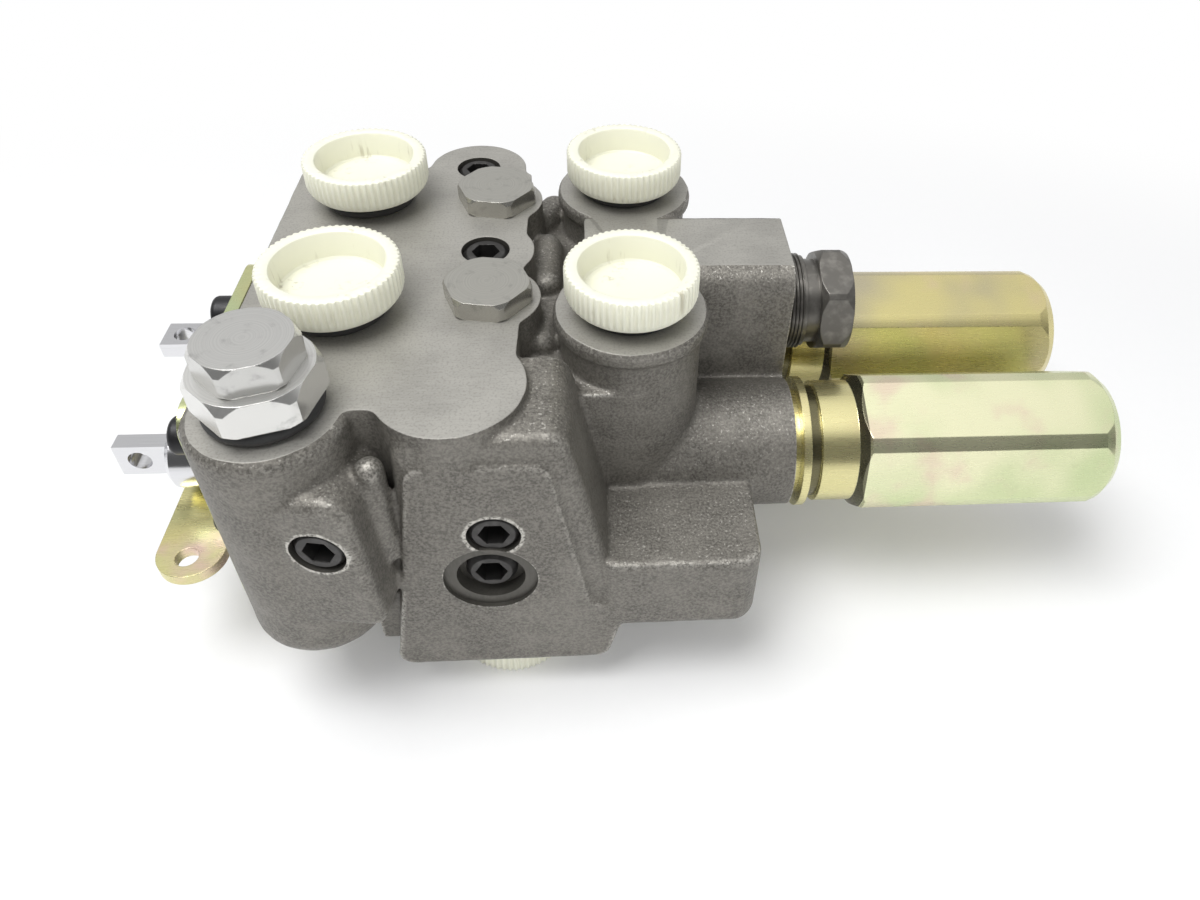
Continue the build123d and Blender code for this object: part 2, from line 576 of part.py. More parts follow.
# Spools
def build_spool(spool_y, tang_upright, tang_end):
    """Spool with three lands in its bore, and a flat tang with a cross hole at its left end."""
    profile = [(SPOOL_LEFT, 0), (SPOOL_LEFT, SPOOL_RADIUS - 1.5), (SPOOL_LEFT + 1.5, SPOOL_RADIUS)]
    for waist_start, waist_end in ((-22.0, -4.0), (8.0, 26.0)):
        profile += [(waist_start, SPOOL_RADIUS), (waist_start, SPOOL_WAIST_RADIUS)]
        profile += [(waist_end, SPOOL_WAIST_RADIUS), (waist_end, SPOOL_RADIUS)]
    profile += [(SPOOL_RIGHT, SPOOL_RADIUS), (SPOOL_RIGHT, 0)]
    thickness, height = (TANG_THICKNESS, TANG_HEIGHT) if tang_upright else (TANG_HEIGHT, TANG_THICKNESS)
    hole_x = tang_end + TANG_HOLE_FROM_END
    if tang_upright:
        hole_plane = Plane((hole_x, spool_y, SPOOL_Z), z_dir=(0, 1, 0))
    else:
        hole_plane = Plane((hole_x, spool_y, SPOOL_Z))
    with BuildPart() as spool:
        revolve(outline(lengthwise(spool_y, SPOOL_Z), *profile), axis=axis_x(spool_y, SPOOL_Z))
        with BuildSketch(endward(tang_end, spool_y, SPOOL_Z)):
            Rectangle(thickness, height)
        extrude(amount=SPOOL_LEFT - tang_end + 1)
        chamfer(spool.faces().sort_by(Axis.X)[0].edges(), 0.6)
        extrude(disc(hole_plane, TANG_HOLE_RADIUS), amount=20, both=True, mode=Mode.SUBTRACT)
        tapped = disc(endward(SPOOL_RIGHT, spool_y, SPOOL_Z), STEM_RADIUS + THREAD_GAP)
        extrude(tapped, amount=-STEM_THREAD - 2, mode=Mode.SUBTRACT)
    return spool


front_spool = build_spool(FRONT_SPOOL_Y, True, FRONT_TANG_END)
finish(front_spool, "front_spool")

rear_spool = build_spool(REAR_SPOOL_Y, False, REAR_TANG_END)
finish(rear_spool, "rear_spool")


# Stem bolts, spring seats and centring springs
def build_stem(spool_y):
    """Bolt that holds the spring pack on a spool's right end."""
    head_x = SPOOL_RIGHT + 2 * (SEAT_THICKNESS + SEAT_GAP) + SPRING_LENGTH
    with BuildPart() as stem:
        shank = disc(endward(SPOOL_RIGHT - STEM_THREAD, spool_y, SPOOL_Z), STEM_RADIUS)
        extrude(shank, amount=head_x - SPOOL_RIGHT + STEM_THREAD)
        extrude(disc(endward(head_x, spool_y, SPOOL_Z), STEM_HEAD_RADIUS), amount=STEM_HEAD_LENGTH)
        chamfer(stem.edges().group_by(Axis.X)[-1], 0.8)
        extrude(hexagon(endward(head_x + STEM_HEAD_LENGTH, spool_y, SPOOL_Z), 6.0), amount=-3.5, mode=Mode.SUBTRACT)
    return stem


def build_seats(spool_y):
    """Two spring seats of one pack."""
    outer_x = SPOOL_RIGHT + SEAT_THICKNESS + 2 * SEAT_GAP + SPRING_LENGTH
    with BuildPart() as seats:
        for seat_x in (SPOOL_RIGHT, outer_x):
            with BuildSketch(endward(seat_x, spool_y, SPOOL_Z)):
                Circle(SEAT_RADIUS)
                Circle(STEM_RADIUS + 0.1, mode=Mode.SUBTRACT)
            extrude(amount=SEAT_THICKNESS)
    return seats


def build_centring_spring(spool_y):
    """Centring spring between its two seats."""
    foot = Vector(SPOOL_RIGHT + SEAT_THICKNESS + SEAT_GAP, spool_y, SPOOL_Z)
    along = Vector(1, 0, 0)
    return coil_spring(foot, along, SPRING_LENGTH, SPRING_COIL_RADIUS, SPRING_WIRE_RADIUS, SPRING_PITCH)


finish(build_stem(FRONT_SPOOL_Y), "front_stem_bolt")
finish(build_stem(REAR_SPOOL_Y), "rear_stem_bolt")
finish(build_seats(FRONT_SPOOL_Y), "front_spring_seats")
finish(build_seats(REAR_SPOOL_Y), "rear_spring_seats")
finish(build_centring_spring(FRONT_SPOOL_Y), "front_centring_spring")
finish(build_centring_spring(REAR_SPOOL_Y), "rear_centring_spring")


# Spring caps
def build_spring_cap(spool_y, turn):
    """Hexagonal cap, hollow for the spring pack and closed at its right end."""
    thread = SPRING_CAP_THREAD_RADIUS - THREAD_GAP
    hex_full = SPRING_CAP_HEX_START + SPRING_CAP_HEX_CHAMFER
    profile = [
        (BODY_RIGHT - SPRING_CAP_THREAD_DEPTH, SPRING_CAP_BORE_RADIUS),
        (BODY_RIGHT - SPRING_CAP_THREAD_DEPTH, thread - 1.2),
        (BODY_RIGHT - SPRING_CAP_THREAD_DEPTH + 1.2, thread),
        (SPRING_CAP_RING_START, thread),
        (SPRING_CAP_RING_START, SPRING_CAP_RING_RADIUS),
        (SPRING_CAP_RING_END, SPRING_CAP_RING_RADIUS),
        (SPRING_CAP_RING_END, SPRING_CAP_GROOVE_RADIUS),
        (SPRING_CAP_GROOVE_END, SPRING_CAP_GROOVE_RADIUS),
        (SPRING_CAP_GROOVE_END, SPRING_CAP_COLLAR_RADIUS),
        (SPRING_CAP_HEX_START, SPRING_CAP_COLLAR_RADIUS),
        (hex_full, SPRING_CAP_LAND_RADIUS),
        (SPRING_CAP_END - SPRING_CAP_END_CHAMFER, SPRING_CAP_LAND_RADIUS),
        (SPRING_CAP_END - SPRING_CAP_END_CHAMFER / 2, SPRING_CAP_LAND_RADIUS - 1.1),
        (SPRING_CAP_END, SPRING_CAP_END_RADIUS),
        (SPRING_CAP_END, 0),
        (SPRING_CAP_END - SPRING_CAP_END_WALL, 0),
        (SPRING_CAP_END - SPRING_CAP_END_WALL, SPRING_CAP_BORE_RADIUS),
    ]
    with BuildPart() as cap:
        revolve(outline(lengthwise(spool_y, SPOOL_Z), *profile), axis=axis_x(spool_y, SPOOL_Z))
        hex_face = hexagon(endward(BODY_RIGHT - 20, spool_y, SPOOL_Z), SPRING_CAP_FLATS, turn)
        extrude(hex_face, amount=SPRING_CAP_END - BODY_RIGHT + 30, mode=Mode.INTERSECT)
    return cap


finish(build_spring_cap(FRONT_SPOOL_Y, FRONT_CAP_TURN), "front_spring_cap")
finish(build_spring_cap(REAR_SPOOL_Y, REAR_CAP_TURN), "rear_spring_cap")


# Port caps
def build_port_cap(x, y, seat_z, facing):
    """Screw-in cap with a ribbed rim and a round cup; facing is 1 for a cap on top and -1 for one underneath."""
    profile = (
        (0, -CAP_SHANK_LENGTH),
        (CAP_SHANK_RADIUS - 0.8, -CAP_SHANK_LENGTH),
        (CAP_SHANK_RADIUS, -CAP_SHANK_LENGTH + 0.8),
        (CAP_SHANK_RADIUS, 0),
        (CAP_RADIUS - 0.6, 0),
        (CAP_RADIUS, 0.6),
        (CAP_RADIUS, CAP_HEIGHT - 0.9),
        (CAP_RADIUS - 0.9, CAP_HEIGHT),
        (CAP_CUP_RADIUS + 0.7, CAP_HEIGHT),
        (CAP_CUP_RADIUS, CAP_HEIGHT - 0.7),
        (CAP_CUP_RADIUS, CAP_HEIGHT - CAP_CUP_DEPTH),
        (0, CAP_HEIGHT - CAP_CUP_DEPTH),
    )
    placed = [(radius, facing * height) for radius, height in profile]
    grooves_start = seat_z + facing * CAP_LIP
    with BuildSketch(upward(x, y, grooves_start)) as grooves:
        with PolarLocations(CAP_RADIUS, CAP_RIBS):
            Circle(CAP_RIB_GROOVE)
    with BuildPart() as cap:
        revolve(outline(across_plane(x, y, seat_z), *placed), axis=axis_z(x, y))
        extrude(grooves.sketch, amount=facing * CAP_HEIGHT, mode=Mode.SUBTRACT)
    return cap


for place, (cap_x, cap_y) in PORT_CENTRES.items():
    cap_seat = BODY_TOP + CAP_GAP + CAP_RISE[place]
    finish(build_port_cap(cap_x, cap_y, cap_seat, 1), f"port_cap_{place}")

for place, (cap_x, cap_y) in UNDER_PORT_CENTRES.items():
    finish(build_port_cap(cap_x, cap_y, -CAP_GAP, -1), f"{place}_cap")

# Seal rings of the port caps
with BuildPart() as cap_seals:
    for place, (cap_x, cap_y) in PORT_CENTRES.items():
        ring_z = BODY_TOP + (CAP_GAP + CAP_RISE[place]) / 2
        with Locations((cap_x, cap_y, ring_z)):
            Torus(CAP_SHANK_RADIUS + CAP_SEAL_WIRE + SEAL_FIT, CAP_SEAL_WIRE)
    for cap_x, cap_y in UNDER_PORT_CENTRES.values():
        with Locations((cap_x, cap_y, -CAP_GAP / 2)):
            Torus(CAP_SHANK_RADIUS + CAP_SEAL_WIRE + SEAL_FIT, CAP_SEAL_WIRE)
finish(cap_seals, "cap_seals")


# Load check plugs, poppets and springs
def build_check_plug(x, y):
    """Hexagonal plug over a check chamber."""
    foot = upward(x, y, BODY_TOP)
    head = hexagonal_head(foot, CHECK_HEX_FLATS, CHECK_HEX_TURN, CHECK_HEX_HEIGHT, CHECK_LAND_RADIUS, CHECK_HEX_BEVEL)
    with BuildPart() as plug:
        add(head)
        extrude(disc(upward(x, y, BODY_TOP + 1), CHECK_BORE_RADIUS - THREAD_GAP), amount=-(CHECK_PLUG_LENGTH + 1))
        chamfer(plug.edges().group_by(Axis.Z)[0], 0.8)
    return plug


def build_check_poppet(x, y):
    """Check poppet: a flat seat with a short nose, guided by the chamber and hollow for its spring."""
    guide = CHECK_BORE_RADIUS - POPPET_FIT
    seat_z = CHECK_SEAT_Z + POPPET_FIT
    profile = (
        (0, seat_z - 2.0),
        (CHECK_PASSAGE_RADIUS - 1.5, seat_z - 2.0),
        (CHECK_PASSAGE_RADIUS - 0.3, seat_z),
        (guide, seat_z),
        (guide, seat_z + CHECK_POPPET_LENGTH),
        (CHECK_SPRING_SEAT_RADIUS, seat_z + CHECK_POPPET_LENGTH),
        (CHECK_SPRING_SEAT_RADIUS, seat_z + CHECK_POPPET_FLOOR),
        (0, seat_z + CHECK_POPPET_FLOOR),
    )
    with BuildPart() as poppet:
        revolve(outline(across_plane(x, y, 0), *profile), axis=axis_z(x, y))
    return poppet


def build_check_spring(x, y):
    """Check spring between the poppet and its plug."""
    foot_z = CHECK_SEAT_Z + POPPET_FIT + CHECK_POPPET_FLOOR + SEAT_GAP
    length = BODY_TOP - CHECK_PLUG_LENGTH - SEAT_GAP - foot_z
    foot = Vector(x, y, foot_z)
    return coil_spring(foot, Vector(0, 0, 1), length, CHECK_COIL_RADIUS, CHECK_WIRE_RADIUS, CHECK_SPRING_PITCH)


for place, (check_x, check_y) in CHECK_CENTRES.items():
    finish(build_check_plug(check_x, check_y), f"{place}_check_plug")
    finish(build_check_poppet(check_x, check_y), f"{place}_check_poppet")
    finish(build_check_spring(check_x, check_y), f"{place}_check_spring")

with BuildPart() as check_plug_seals:
    for check_x, check_y in CHECK_CENTRES.values():
        with Locations((check_x, check_y, BODY_TOP - CHECK_SEAL_WIRE - 0.05)):
            Torus(CHECK_BORE_RADIUS + CHECK_SEAL_WIRE, CHECK_SEAL_WIRE)
finish(check_plug_seals, "check_plug_seals")

# Flush plugs with hex sockets
with BuildPart() as top_socket_plugs:
    for plug_x, plug_y in TOP_PLUG_CENTRES:
        face = upward(plug_x, plug_y, BODY_TOP - 0.4)
        add(socket_plug(face, SOCKET_PLUG_RADIUS, SOCKET_PLUG_LENGTH, SOCKET_FLATS, SOCKET_DEPTH))
finish(top_socket_plugs, "top_socket_plugs")

with BuildPart() as front_socket_plugs:
    upper_face = frontward(FRONT_PLUG_CENTRE[0], PAD_FRONT + 0.6, FRONT_PLUG_CENTRE[1])
    add(socket_plug(upper_face, SOCKET_PLUG_RADIUS, SOCKET_PLUG_LENGTH, SOCKET_FLATS, SOCKET_DEPTH))
    add(socket_plug(side_face.offset(-0.6), SOCKET_PLUG_RADIUS, SOCKET_PLUG_LENGTH - 0.5, SOCKET_FLATS, SOCKET_DEPTH))
finish(front_socket_plugs, "front_socket_plugs")

with BuildPart() as pilot_plug:
    pilot_face = frontward(PILOT_PLUG_CENTRE[0], PAD_FRONT + 2.4, PILOT_PLUG_CENTRE[1])
    add(socket_plug(pilot_face, PILOT_PLUG_RADIUS, 9.5, 7.0, SOCKET_DEPTH))
finish(pilot_plug, "pilot_plug")

# Relief valve
adapter_hex = hexagonal_head(
    upward(RELIEF_X, RELIEF_Y, ADAPTER_HEX_BOTTOM),
    ADAPTER_FLATS,
    RELIEF_TURN,
    ADAPTER_HEX_TOP - ADAPTER_HEX_BOTTOM,
    ADAPTER_LAND_RADIUS,
    ADAPTER_BEVEL,
)
with BuildPart() as relief_adapter:
    add(adapter_hex)
    shank = disc(upward(RELIEF_X, RELIEF_Y, ADAPTER_HEX_BOTTOM + 1), RELIEF_BORE_RADIUS - THREAD_GAP)
    extrude(shank, amount=-(ADAPTER_HEX_BOTTOM + 1 - BODY_TOP + ADAPTER_SHANK_LENGTH))
    chamfer(relief_adapter.edges().group_by(Axis.Z)[0], 0.8)
    spring_room = disc(upward(RELIEF_X, RELIEF_Y, 0), ADAPTER_BORE_RADIUS)
    extrude(spring_room, amount=ADJUSTER_TOP, mode=Mode.SUBTRACT)
    extrude(disc(upward(RELIEF_X, RELIEF_Y, 0), RELIEF_STEM_RADIUS + THREAD_GAP), amount=200, mode=Mode.SUBTRACT)
finish(relief_adapter, "relief_adapter")

cap_hex = hexagonal_head(
    upward(RELIEF_X, RELIEF_Y, ADAPTER_HEX_TOP),
    RELIEF_CAP_FLATS,
    RELIEF_TURN,
    RELIEF_CAP_TOP - ADAPTER_HEX_TOP,
    RELIEF_CAP_LAND_RADIUS,
    RELIEF_CAP_BEVEL,
)
with BuildPart() as relief_cap:
    add(cap_hex)
    stem = disc(upward(RELIEF_X, RELIEF_Y, ADJUSTER_TOP), RELIEF_STEM_RADIUS)
    extrude(stem, amount=ADAPTER_HEX_TOP - ADJUSTER_TOP + 1)
finish(relief_cap, "relief_cap")

with BuildPart() as relief_adjuster:
    adjuster_top = disc(upward(RELIEF_X, RELIEF_Y, ADJUSTER_TOP), ADAPTER_BORE_RADIUS - THREAD_GAP)
    extrude(adjuster_top, amount=-ADJUSTER_LENGTH)
finish(relief_adjuster, "relief_adjuster")

relief_seat_z = RELIEF_SEAT_Z + POPPET_FIT
relief_profile = (
    (0, relief_seat_z - 1.5),
    (RELIEF_PASSAGE_RADIUS - 1.2, relief_seat_z - 1.5),
    (RELIEF_PASSAGE_RADIUS - 0.3, relief_seat_z),
    (RELIEF_PASSAGE_RADIUS + 2.0, relief_seat_z),
    (RELIEF_PASSAGE_RADIUS + 2.0, relief_seat_z + 3.0),
    (RELIEF_PASSAGE_RADIUS - 0.5, relief_seat_z + 5.0),
    (RELIEF_PASSAGE_RADIUS - 0.5, RELIEF_GUIDE_BOTTOM),
    (ADAPTER_BORE_RADIUS - POPPET_FIT, RELIEF_GUIDE_BOTTOM),
    (ADAPTER_BORE_RADIUS - POPPET_FIT, RELIEF_GUIDE_TOP),
    (0, RELIEF_GUIDE_TOP),
)
with BuildPart() as relief_poppet:
    revolve(outline(across_plane(RELIEF_X, RELIEF_Y, 0), *relief_profile), axis=axis_z(RELIEF_X, RELIEF_Y))
finish(relief_poppet, "relief_poppet")

relief_spring = coil_spring(
    Vector(RELIEF_X, RELIEF_Y, RELIEF_GUIDE_TOP + SEAT_GAP),
    Vector(0, 0, 1),
    ADJUSTER_TOP - ADJUSTER_LENGTH - RELIEF_GUIDE_TOP - 2 * SEAT_GAP,
    RELIEF_COIL_RADIUS,
    RELIEF_WIRE_RADIUS,
    RELIEF_SPRING_PITCH,
)
finish(relief_spring, "relief_spring")

with BuildPart() as relief_seal:
    with Locations((RELIEF_X, RELIEF_Y, BODY_TOP + RELIEF_SEAL_WIRE + 0.15)):
        Torus(RELIEF_BORE_RADIUS + RELIEF_SEAL_WIRE, RELIEF_SEAL_WIRE)
finish(relief_seal, "relief_seal")

# Plug in the right end face
plug_neck_x = BODY_RIGHT + BEYOND_EXPOSED
plug_hex_x = plug_neck_x + BEYOND_NECK
beyond_hex = hexagonal_head(
    endward(plug_hex_x, BEYOND_PLUG_Y, BEYOND_PLUG_Z),
    BEYOND_HEX_FLATS,
    BEYOND_HEX_TURN,
    BEYOND_HEX_LENGTH,
    BEYOND_LAND_RADIUS,
    BEYOND_HEX_BEVEL,
    BEYOND_FOOT_BEVEL,
)
with BuildPart() as power_beyond_plug:
    add(beyond_hex)
    thread_start = BODY_RIGHT - BEYOND_THREAD_DEPTH
    thread = disc(endward(thread_start, BEYOND_PLUG_Y, BEYOND_PLUG_Z), BEYOND_THREAD_RADIUS)
    extrude(thread, amount=plug_neck_x - thread_start)
    chamfer(power_beyond_plug.edges().group_by(Axis.X)[0], 1.2)
    extrude(disc(endward(plug_neck_x, BEYOND_PLUG_Y, BEYOND_PLUG_Z), BEYOND_NECK_RADIUS), amount=BEYOND_NECK + 1)
finish(power_beyond_plug, "power_beyond_plug")

# Seals round the spools
with BuildPart() as wiper_seals:
    for spool_y in (FRONT_SPOOL_Y, REAR_SPOOL_Y):
        with BuildSketch(endward(BODY_LEFT, spool_y, SPOOL_Z)):
            Circle(WIPER_OUTER_RADIUS - SEAL_FIT)
            Circle(SPOOL_RADIUS + SEAL_FIT, mode=Mode.SUBTRACT)
        extrude(amount=WIPER_LENGTH - SEAL_FIT)
finish(wiper_seals, "wiper_seals")

with BuildPart() as spool_seals:
    for spool_y in (FRONT_SPOOL_Y, REAR_SPOOL_Y):
        for seal_x in SPOOL_SEAL_PLACES:
            with BuildSketch(endward(seal_x + SEAL_FIT, spool_y, SPOOL_Z)):
                Circle(WIPER_OUTER_RADIUS - SEAL_FIT)
                Circle(SPOOL_RADIUS + SEAL_FIT, mode=Mode.SUBTRACT)
            extrude(amount=SPOOL_SEAL_WIDTH - 2 * SEAL_FIT)
finish(spool_seals, "spool_seals")

# Link bracket: an upright plate on the left end with a flat ear bent out of its foot
plate_x = BODY_LEFT - BRACKET_THICKNESS
with BuildPart() as link_bracket:
    with BuildSketch(endward(plate_x, 0, 0)) as plate_outline:
        with Locations(((BRACKET_FRONT + BRACKET_REAR) / 2, (EAR_TOP - BRACKET_THICKNESS + BRACKET_TOP) / 2)):
            Rectangle(BRACKET_REAR - BRACKET_FRONT, BRACKET_TOP - EAR_TOP + BRACKET_THICKNESS)
        fillet(plate_outline.vertices().group_by(Axis.Y)[-1], 6.0)
        with Locations((FRONT_SPOOL_Y, SPOOL_Z)):
            Circle(SPOOL_RADIUS + 0.7, mode=Mode.SUBTRACT)
        with Locations(SCREW_POINTS):
            Circle(SCREW_SHANK_RADIUS + 0.2, mode=Mode.SUBTRACT)
    extrude(amount=BRACKET_THICKNESS)
    with BuildSketch(upward(0, 0, EAR_TOP)):
        with BuildLine():
            Polyline((BODY_LEFT, -8), (EAR_LEFT, -14), (EAR_LEFT, -46), (-72, -46), (BODY_LEFT, -36), close=True)
        make_face()
        with Locations(EAR_TIP_CENTRE):
            Circle(EAR_TIP_RADIUS)
        with Locations(EAR_HOLE_CENTRE):
            Circle(EAR_HOLE_RADIUS, mode=Mode.SUBTRACT)
    extrude(amount=-BRACKET_THICKNESS)
finish(link_bracket, "link_bracket")

# Screws of the bracket
with BuildPart() as bracket_screws:
    for screw_y, screw_z in SCREW_POINTS:
        extrude(disc(endward(plate_x, screw_y, screw_z), SCREW_HEAD_RADIUS), amount=-SCREW_HEAD_HEIGHT)
        extrude(disc(endward(plate_x, screw_y, screw_z), SCREW_SHANK_RADIUS), amount=SCREW_LENGTH)
    fillet(bracket_screws.edges().group_by(Axis.X)[0], 1.4)
    for screw_y, screw_z in SCREW_POINTS:
        socket = hexagon(endward(plate_x - SCREW_HEAD_HEIGHT, screw_y, screw_z), SCREW_SOCKET_FLATS)
        extrude(socket, amount=SCREW_SOCKET_DEPTH, mode=Mode.SUBTRACT)
finish(bracket_screws, "bracket_screws")
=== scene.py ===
"""Looks of the auxiliary control valve: every finish, the ribbed port caps, the threads and the studio.

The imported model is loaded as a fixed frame. All sizes are in metres, in its frame: X along the spools, Z up.
"""

import json
from math import cos, pi, radians, sin

import bmesh
import bpy
from bpy.props import FloatProperty, FloatVectorProperty, IntProperty, PointerProperty
from mathutils import Matrix, Vector, noise


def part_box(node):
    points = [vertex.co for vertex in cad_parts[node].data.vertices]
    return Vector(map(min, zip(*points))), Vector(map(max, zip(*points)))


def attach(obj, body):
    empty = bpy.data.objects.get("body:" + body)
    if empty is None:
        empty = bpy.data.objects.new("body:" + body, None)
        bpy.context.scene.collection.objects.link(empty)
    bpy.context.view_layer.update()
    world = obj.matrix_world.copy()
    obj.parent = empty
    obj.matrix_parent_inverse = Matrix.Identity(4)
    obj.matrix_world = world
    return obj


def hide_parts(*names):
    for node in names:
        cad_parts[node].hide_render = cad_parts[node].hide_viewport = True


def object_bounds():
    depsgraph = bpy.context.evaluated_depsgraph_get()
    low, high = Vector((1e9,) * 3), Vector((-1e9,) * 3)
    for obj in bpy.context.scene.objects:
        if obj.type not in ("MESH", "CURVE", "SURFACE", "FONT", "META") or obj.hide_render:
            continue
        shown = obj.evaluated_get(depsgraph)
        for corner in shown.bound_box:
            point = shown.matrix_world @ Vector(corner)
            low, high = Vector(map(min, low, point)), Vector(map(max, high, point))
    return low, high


bl_info = {
    "name": "Auxiliary Control Valve",
    "version": (1, 0, 0),
    "blender": (4, 5, 0),
    "location": "View3D > Sidebar > Valve",
    "description": "Finishes, port caps, threads and studio of a two-spool control valve",
    "category": "Object",
}

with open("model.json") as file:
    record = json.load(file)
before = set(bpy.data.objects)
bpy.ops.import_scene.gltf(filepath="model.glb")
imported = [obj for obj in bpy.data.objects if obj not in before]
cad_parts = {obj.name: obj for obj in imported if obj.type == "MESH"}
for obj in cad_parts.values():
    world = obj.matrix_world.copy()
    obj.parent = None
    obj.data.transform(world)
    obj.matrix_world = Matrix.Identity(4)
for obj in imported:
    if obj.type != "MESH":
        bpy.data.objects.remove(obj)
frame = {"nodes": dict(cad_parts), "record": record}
CAD_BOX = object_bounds()

MM = 0.001
BODY_LOW, BODY_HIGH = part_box("valve_body")
PORT_CAPS = ("port_cap_front_left", "port_cap_front_right", "port_cap_rear_left", "port_cap_rear_right")
UNDER_CAPS = ("inlet_cap", "outlet_cap")

# Faces of the casting and lines of the spools, in millimetres
TOP = 87.0
LEFT = -60.3
RIGHT = 83.5
FRONT = -67.0
SPOOL_Z = 37.0
FRONT_SPOOL_Y = -21.0
REAR_SPOOL_Y = 29.0

# Ways that a drill goes in: from the top, the underside, the front, the left end and the right end
DOWN = (0, 0, -1)
UP = (0, 0, 1)
BACK = (0, 1, 0)
RIGHTWARD = (1, 0, 0)
LEFTWARD = (-1, 0, 0)

# Radius and depth of each hole's steps, in millimetres
WORK_PORT = ((10.2, 18.0), (7.0, 37.0))
UNDER_PORT = ((10.2, 18.0),)
CHECK_BORE = ((9.4, 2.9), (7.4, 28.0))
RELIEF_BORE = ((9.0, 35.0), (4.0, 49.0))
TOP_SOCKET = ((6.48, 13.0),)
FRONT_SOCKET = ((6.48, 14.0),)
SIDE_SOCKET = ((6.48, 9.5),)
PILOT_SOCKET = ((11.7, 1.2), (8.5, 5.0), (6.48, 14.0))
END_PLUG_BORE = ((13.58, 20.0),)
MOUNTING_HOLE = ((4.0, 15.0),)
BRACKET_SCREW = ((2.78, 9.0),)
SPOOL_BORE = ((12.0, 3.0), (9.55, 132.0), (15.0, 148.0))
SIDE_TURN = radians(9.0)

# Holes of the casting: the middle of the mouth in millimetres, the way in, and the steps
HOLES = (
    ((-34.5, FRONT_SPOOL_Y, TOP), DOWN, WORK_PORT),
    ((38.0, FRONT_SPOOL_Y, TOP), DOWN, WORK_PORT),
    ((-35.3, 31.6, TOP), DOWN, WORK_PORT),
    ((38.0, 38.3, TOP), DOWN, WORK_PORT),
    ((4.0, -46.0, 0.0), UP, UNDER_PORT),
    ((38.0, 38.0, 0.0), UP, UNDER_PORT),
    ((1.8, -16.5, TOP), DOWN, CHECK_BORE),
    ((0.6, 31.3, TOP), DOWN, CHECK_BORE),
    ((-43.0, -56.4, TOP), DOWN, RELIEF_BORE),
    ((-0.7, 4.9, TOP), DOWN, TOP_SOCKET),
    ((-6.3, 50.2, TOP), DOWN, TOP_SOCKET),
    ((4.0, FRONT, 53.7), BACK, FRONT_SOCKET),
    ((-33.5, -75.6, 60.0), (sin(SIDE_TURN), cos(SIDE_TURN), 0), SIDE_SOCKET),
    ((2.0, FRONT, SPOOL_Z), BACK, PILOT_SOCKET),
    ((RIGHT, 9.0, 66.0), LEFTWARD, END_PLUG_BORE),
    *(((x, y, 0.0), UP, MOUNTING_HOLE) for x in (26.0, -26.0) for y in (15.0, -15.0)),
    ((LEFT, -12.0, 79.0), RIGHTWARD, BRACKET_SCREW),
    ((LEFT, -50.0, 73.0), RIGHTWARD, BRACKET_SCREW),
    ((LEFT, -46.0, 40.0), RIGHTWARD, BRACKET_SCREW),
    *(((LEFT, y, SPOOL_Z), RIGHTWARD, SPOOL_BORE) for y in (FRONT_SPOOL_Y, REAR_SPOOL_Y)),
)

# Right-hand mouths of the two spool bores, with their radius
EXITS = [((RIGHT, y, SPOOL_Z), LEFTWARD, SPOOL_BORE[-1][0]) for y in (FRONT_SPOOL_Y, REAR_SPOOL_Y)]

# Milling: the axes whose ends are milled, what is cut off, the cutter's size, and a small gap
MILLED_AXES = (2, 0)
MILLING = 3.0 * MM
CUTTER_SIZE = 30 * MM
FACE_GAP = 0.01 * MM

# Places of the cut faces' finishes among the casting's materials
MILLED = 1
BORED = 2

# Stoppers over the holes while the skin is poured, and where a drill starts, in millimetres
STOPPER_EDGE = 0.4
STOPPER_DEPTH = 7.0
DRILL_START = -4.0

# Softening: how far a corner moves at each step, and the share of it that the sharp edges take
SMOOTHING = 0.5
SOFTEN_STEPS = 9
EDGE_SHARE = 0.42

# Waves of the sand mould: size in metres and height in millimetres
WAVES = ((0.011, 0.22), (0.0035, 0.07))

# Wear and painted light: how wide the skin is smoothed to find its proud edges (rubbed wear and painted
# highlight) and hollows (painted shade), and the height that counts as fully proud
EDGE_AND_HOLLOW_STEPS = 16
PROUD_HEIGHT = 0.5 * MM

# Angles above which an edge is drawn sharp
CASTING_EDGE = radians(32)
TURNED_EDGE = radians(35)

# Bands of the spring caps, in millimetres from the body's right end; the groove and collar bands are painted
# near black as shade
GROOVE_BAND = (4.45, 7.75)
COLLAR_BAND = (18.25, 20.4)
NECK_END = 18.2

# Visible thread of the plug on the right end: each turn as shares of the pitch and radii
THREAD_TURNS = 5
THREAD_PITCH = 1.05 * MM
THREAD_CREST = 14.1 * MM
THREAD_ROOT = 13.3 * MM
THREAD_INSIDE = 13.2 * MM
THREAD_TURN = ((0.1, THREAD_ROOT), (0.42, THREAD_CREST), (0.62, THREAD_CREST), (0.94, THREAD_ROOT))
THREAD_SEGMENTS = 96

# Port caps: shank and cup, then rounded corners in millimetres as steps across and along the axis
CAP_SHANK = 10.1 * MM
CAP_SHANK_LENGTH = 12.0 * MM
CAP_SHANK_EDGE = 0.6 * MM
CAP_CUP = 13.3 * MM
CAP_CUP_DEPTH = 7.6 * MM
CAP_UNDERSIDE = ((4.6, 0.0), (2.8, 0.45), (1.3, 1.3), (0.4, 2.4), (0.0, 3.6))
CAP_RIM = ((0.0, 0.9), (0.25, 0.3), (0.8, 0.0))
CAP_LIP = ((0.7, 0.0), (0.2, 0.3), (0.0, 0.9))
CAP_FLOOR = ((0.3, 0.5), (0.8, 0.0), (3.0, 0.0))

# Ribs of the caps: points round each, their start above the shank, and their reach in from the edge
RIB_POINTS = 4
RIB_START = 1.8 * MM
RIB_REACH = 0.85 * MM

# Lamps: size and place of each, and the point that both look at
KEY_LAMP = (0.6, (-0.25, -0.15, 1.0))
FILL_LAMP = (0.8, (0.45, -0.9, 0.55))
LAMP_TARGET = (0.03, 0.0, 0.03)

WHITE = (1.0, 1.0, 1.0)
SKY_COLOUR = (0.80, 0.81, 0.83)

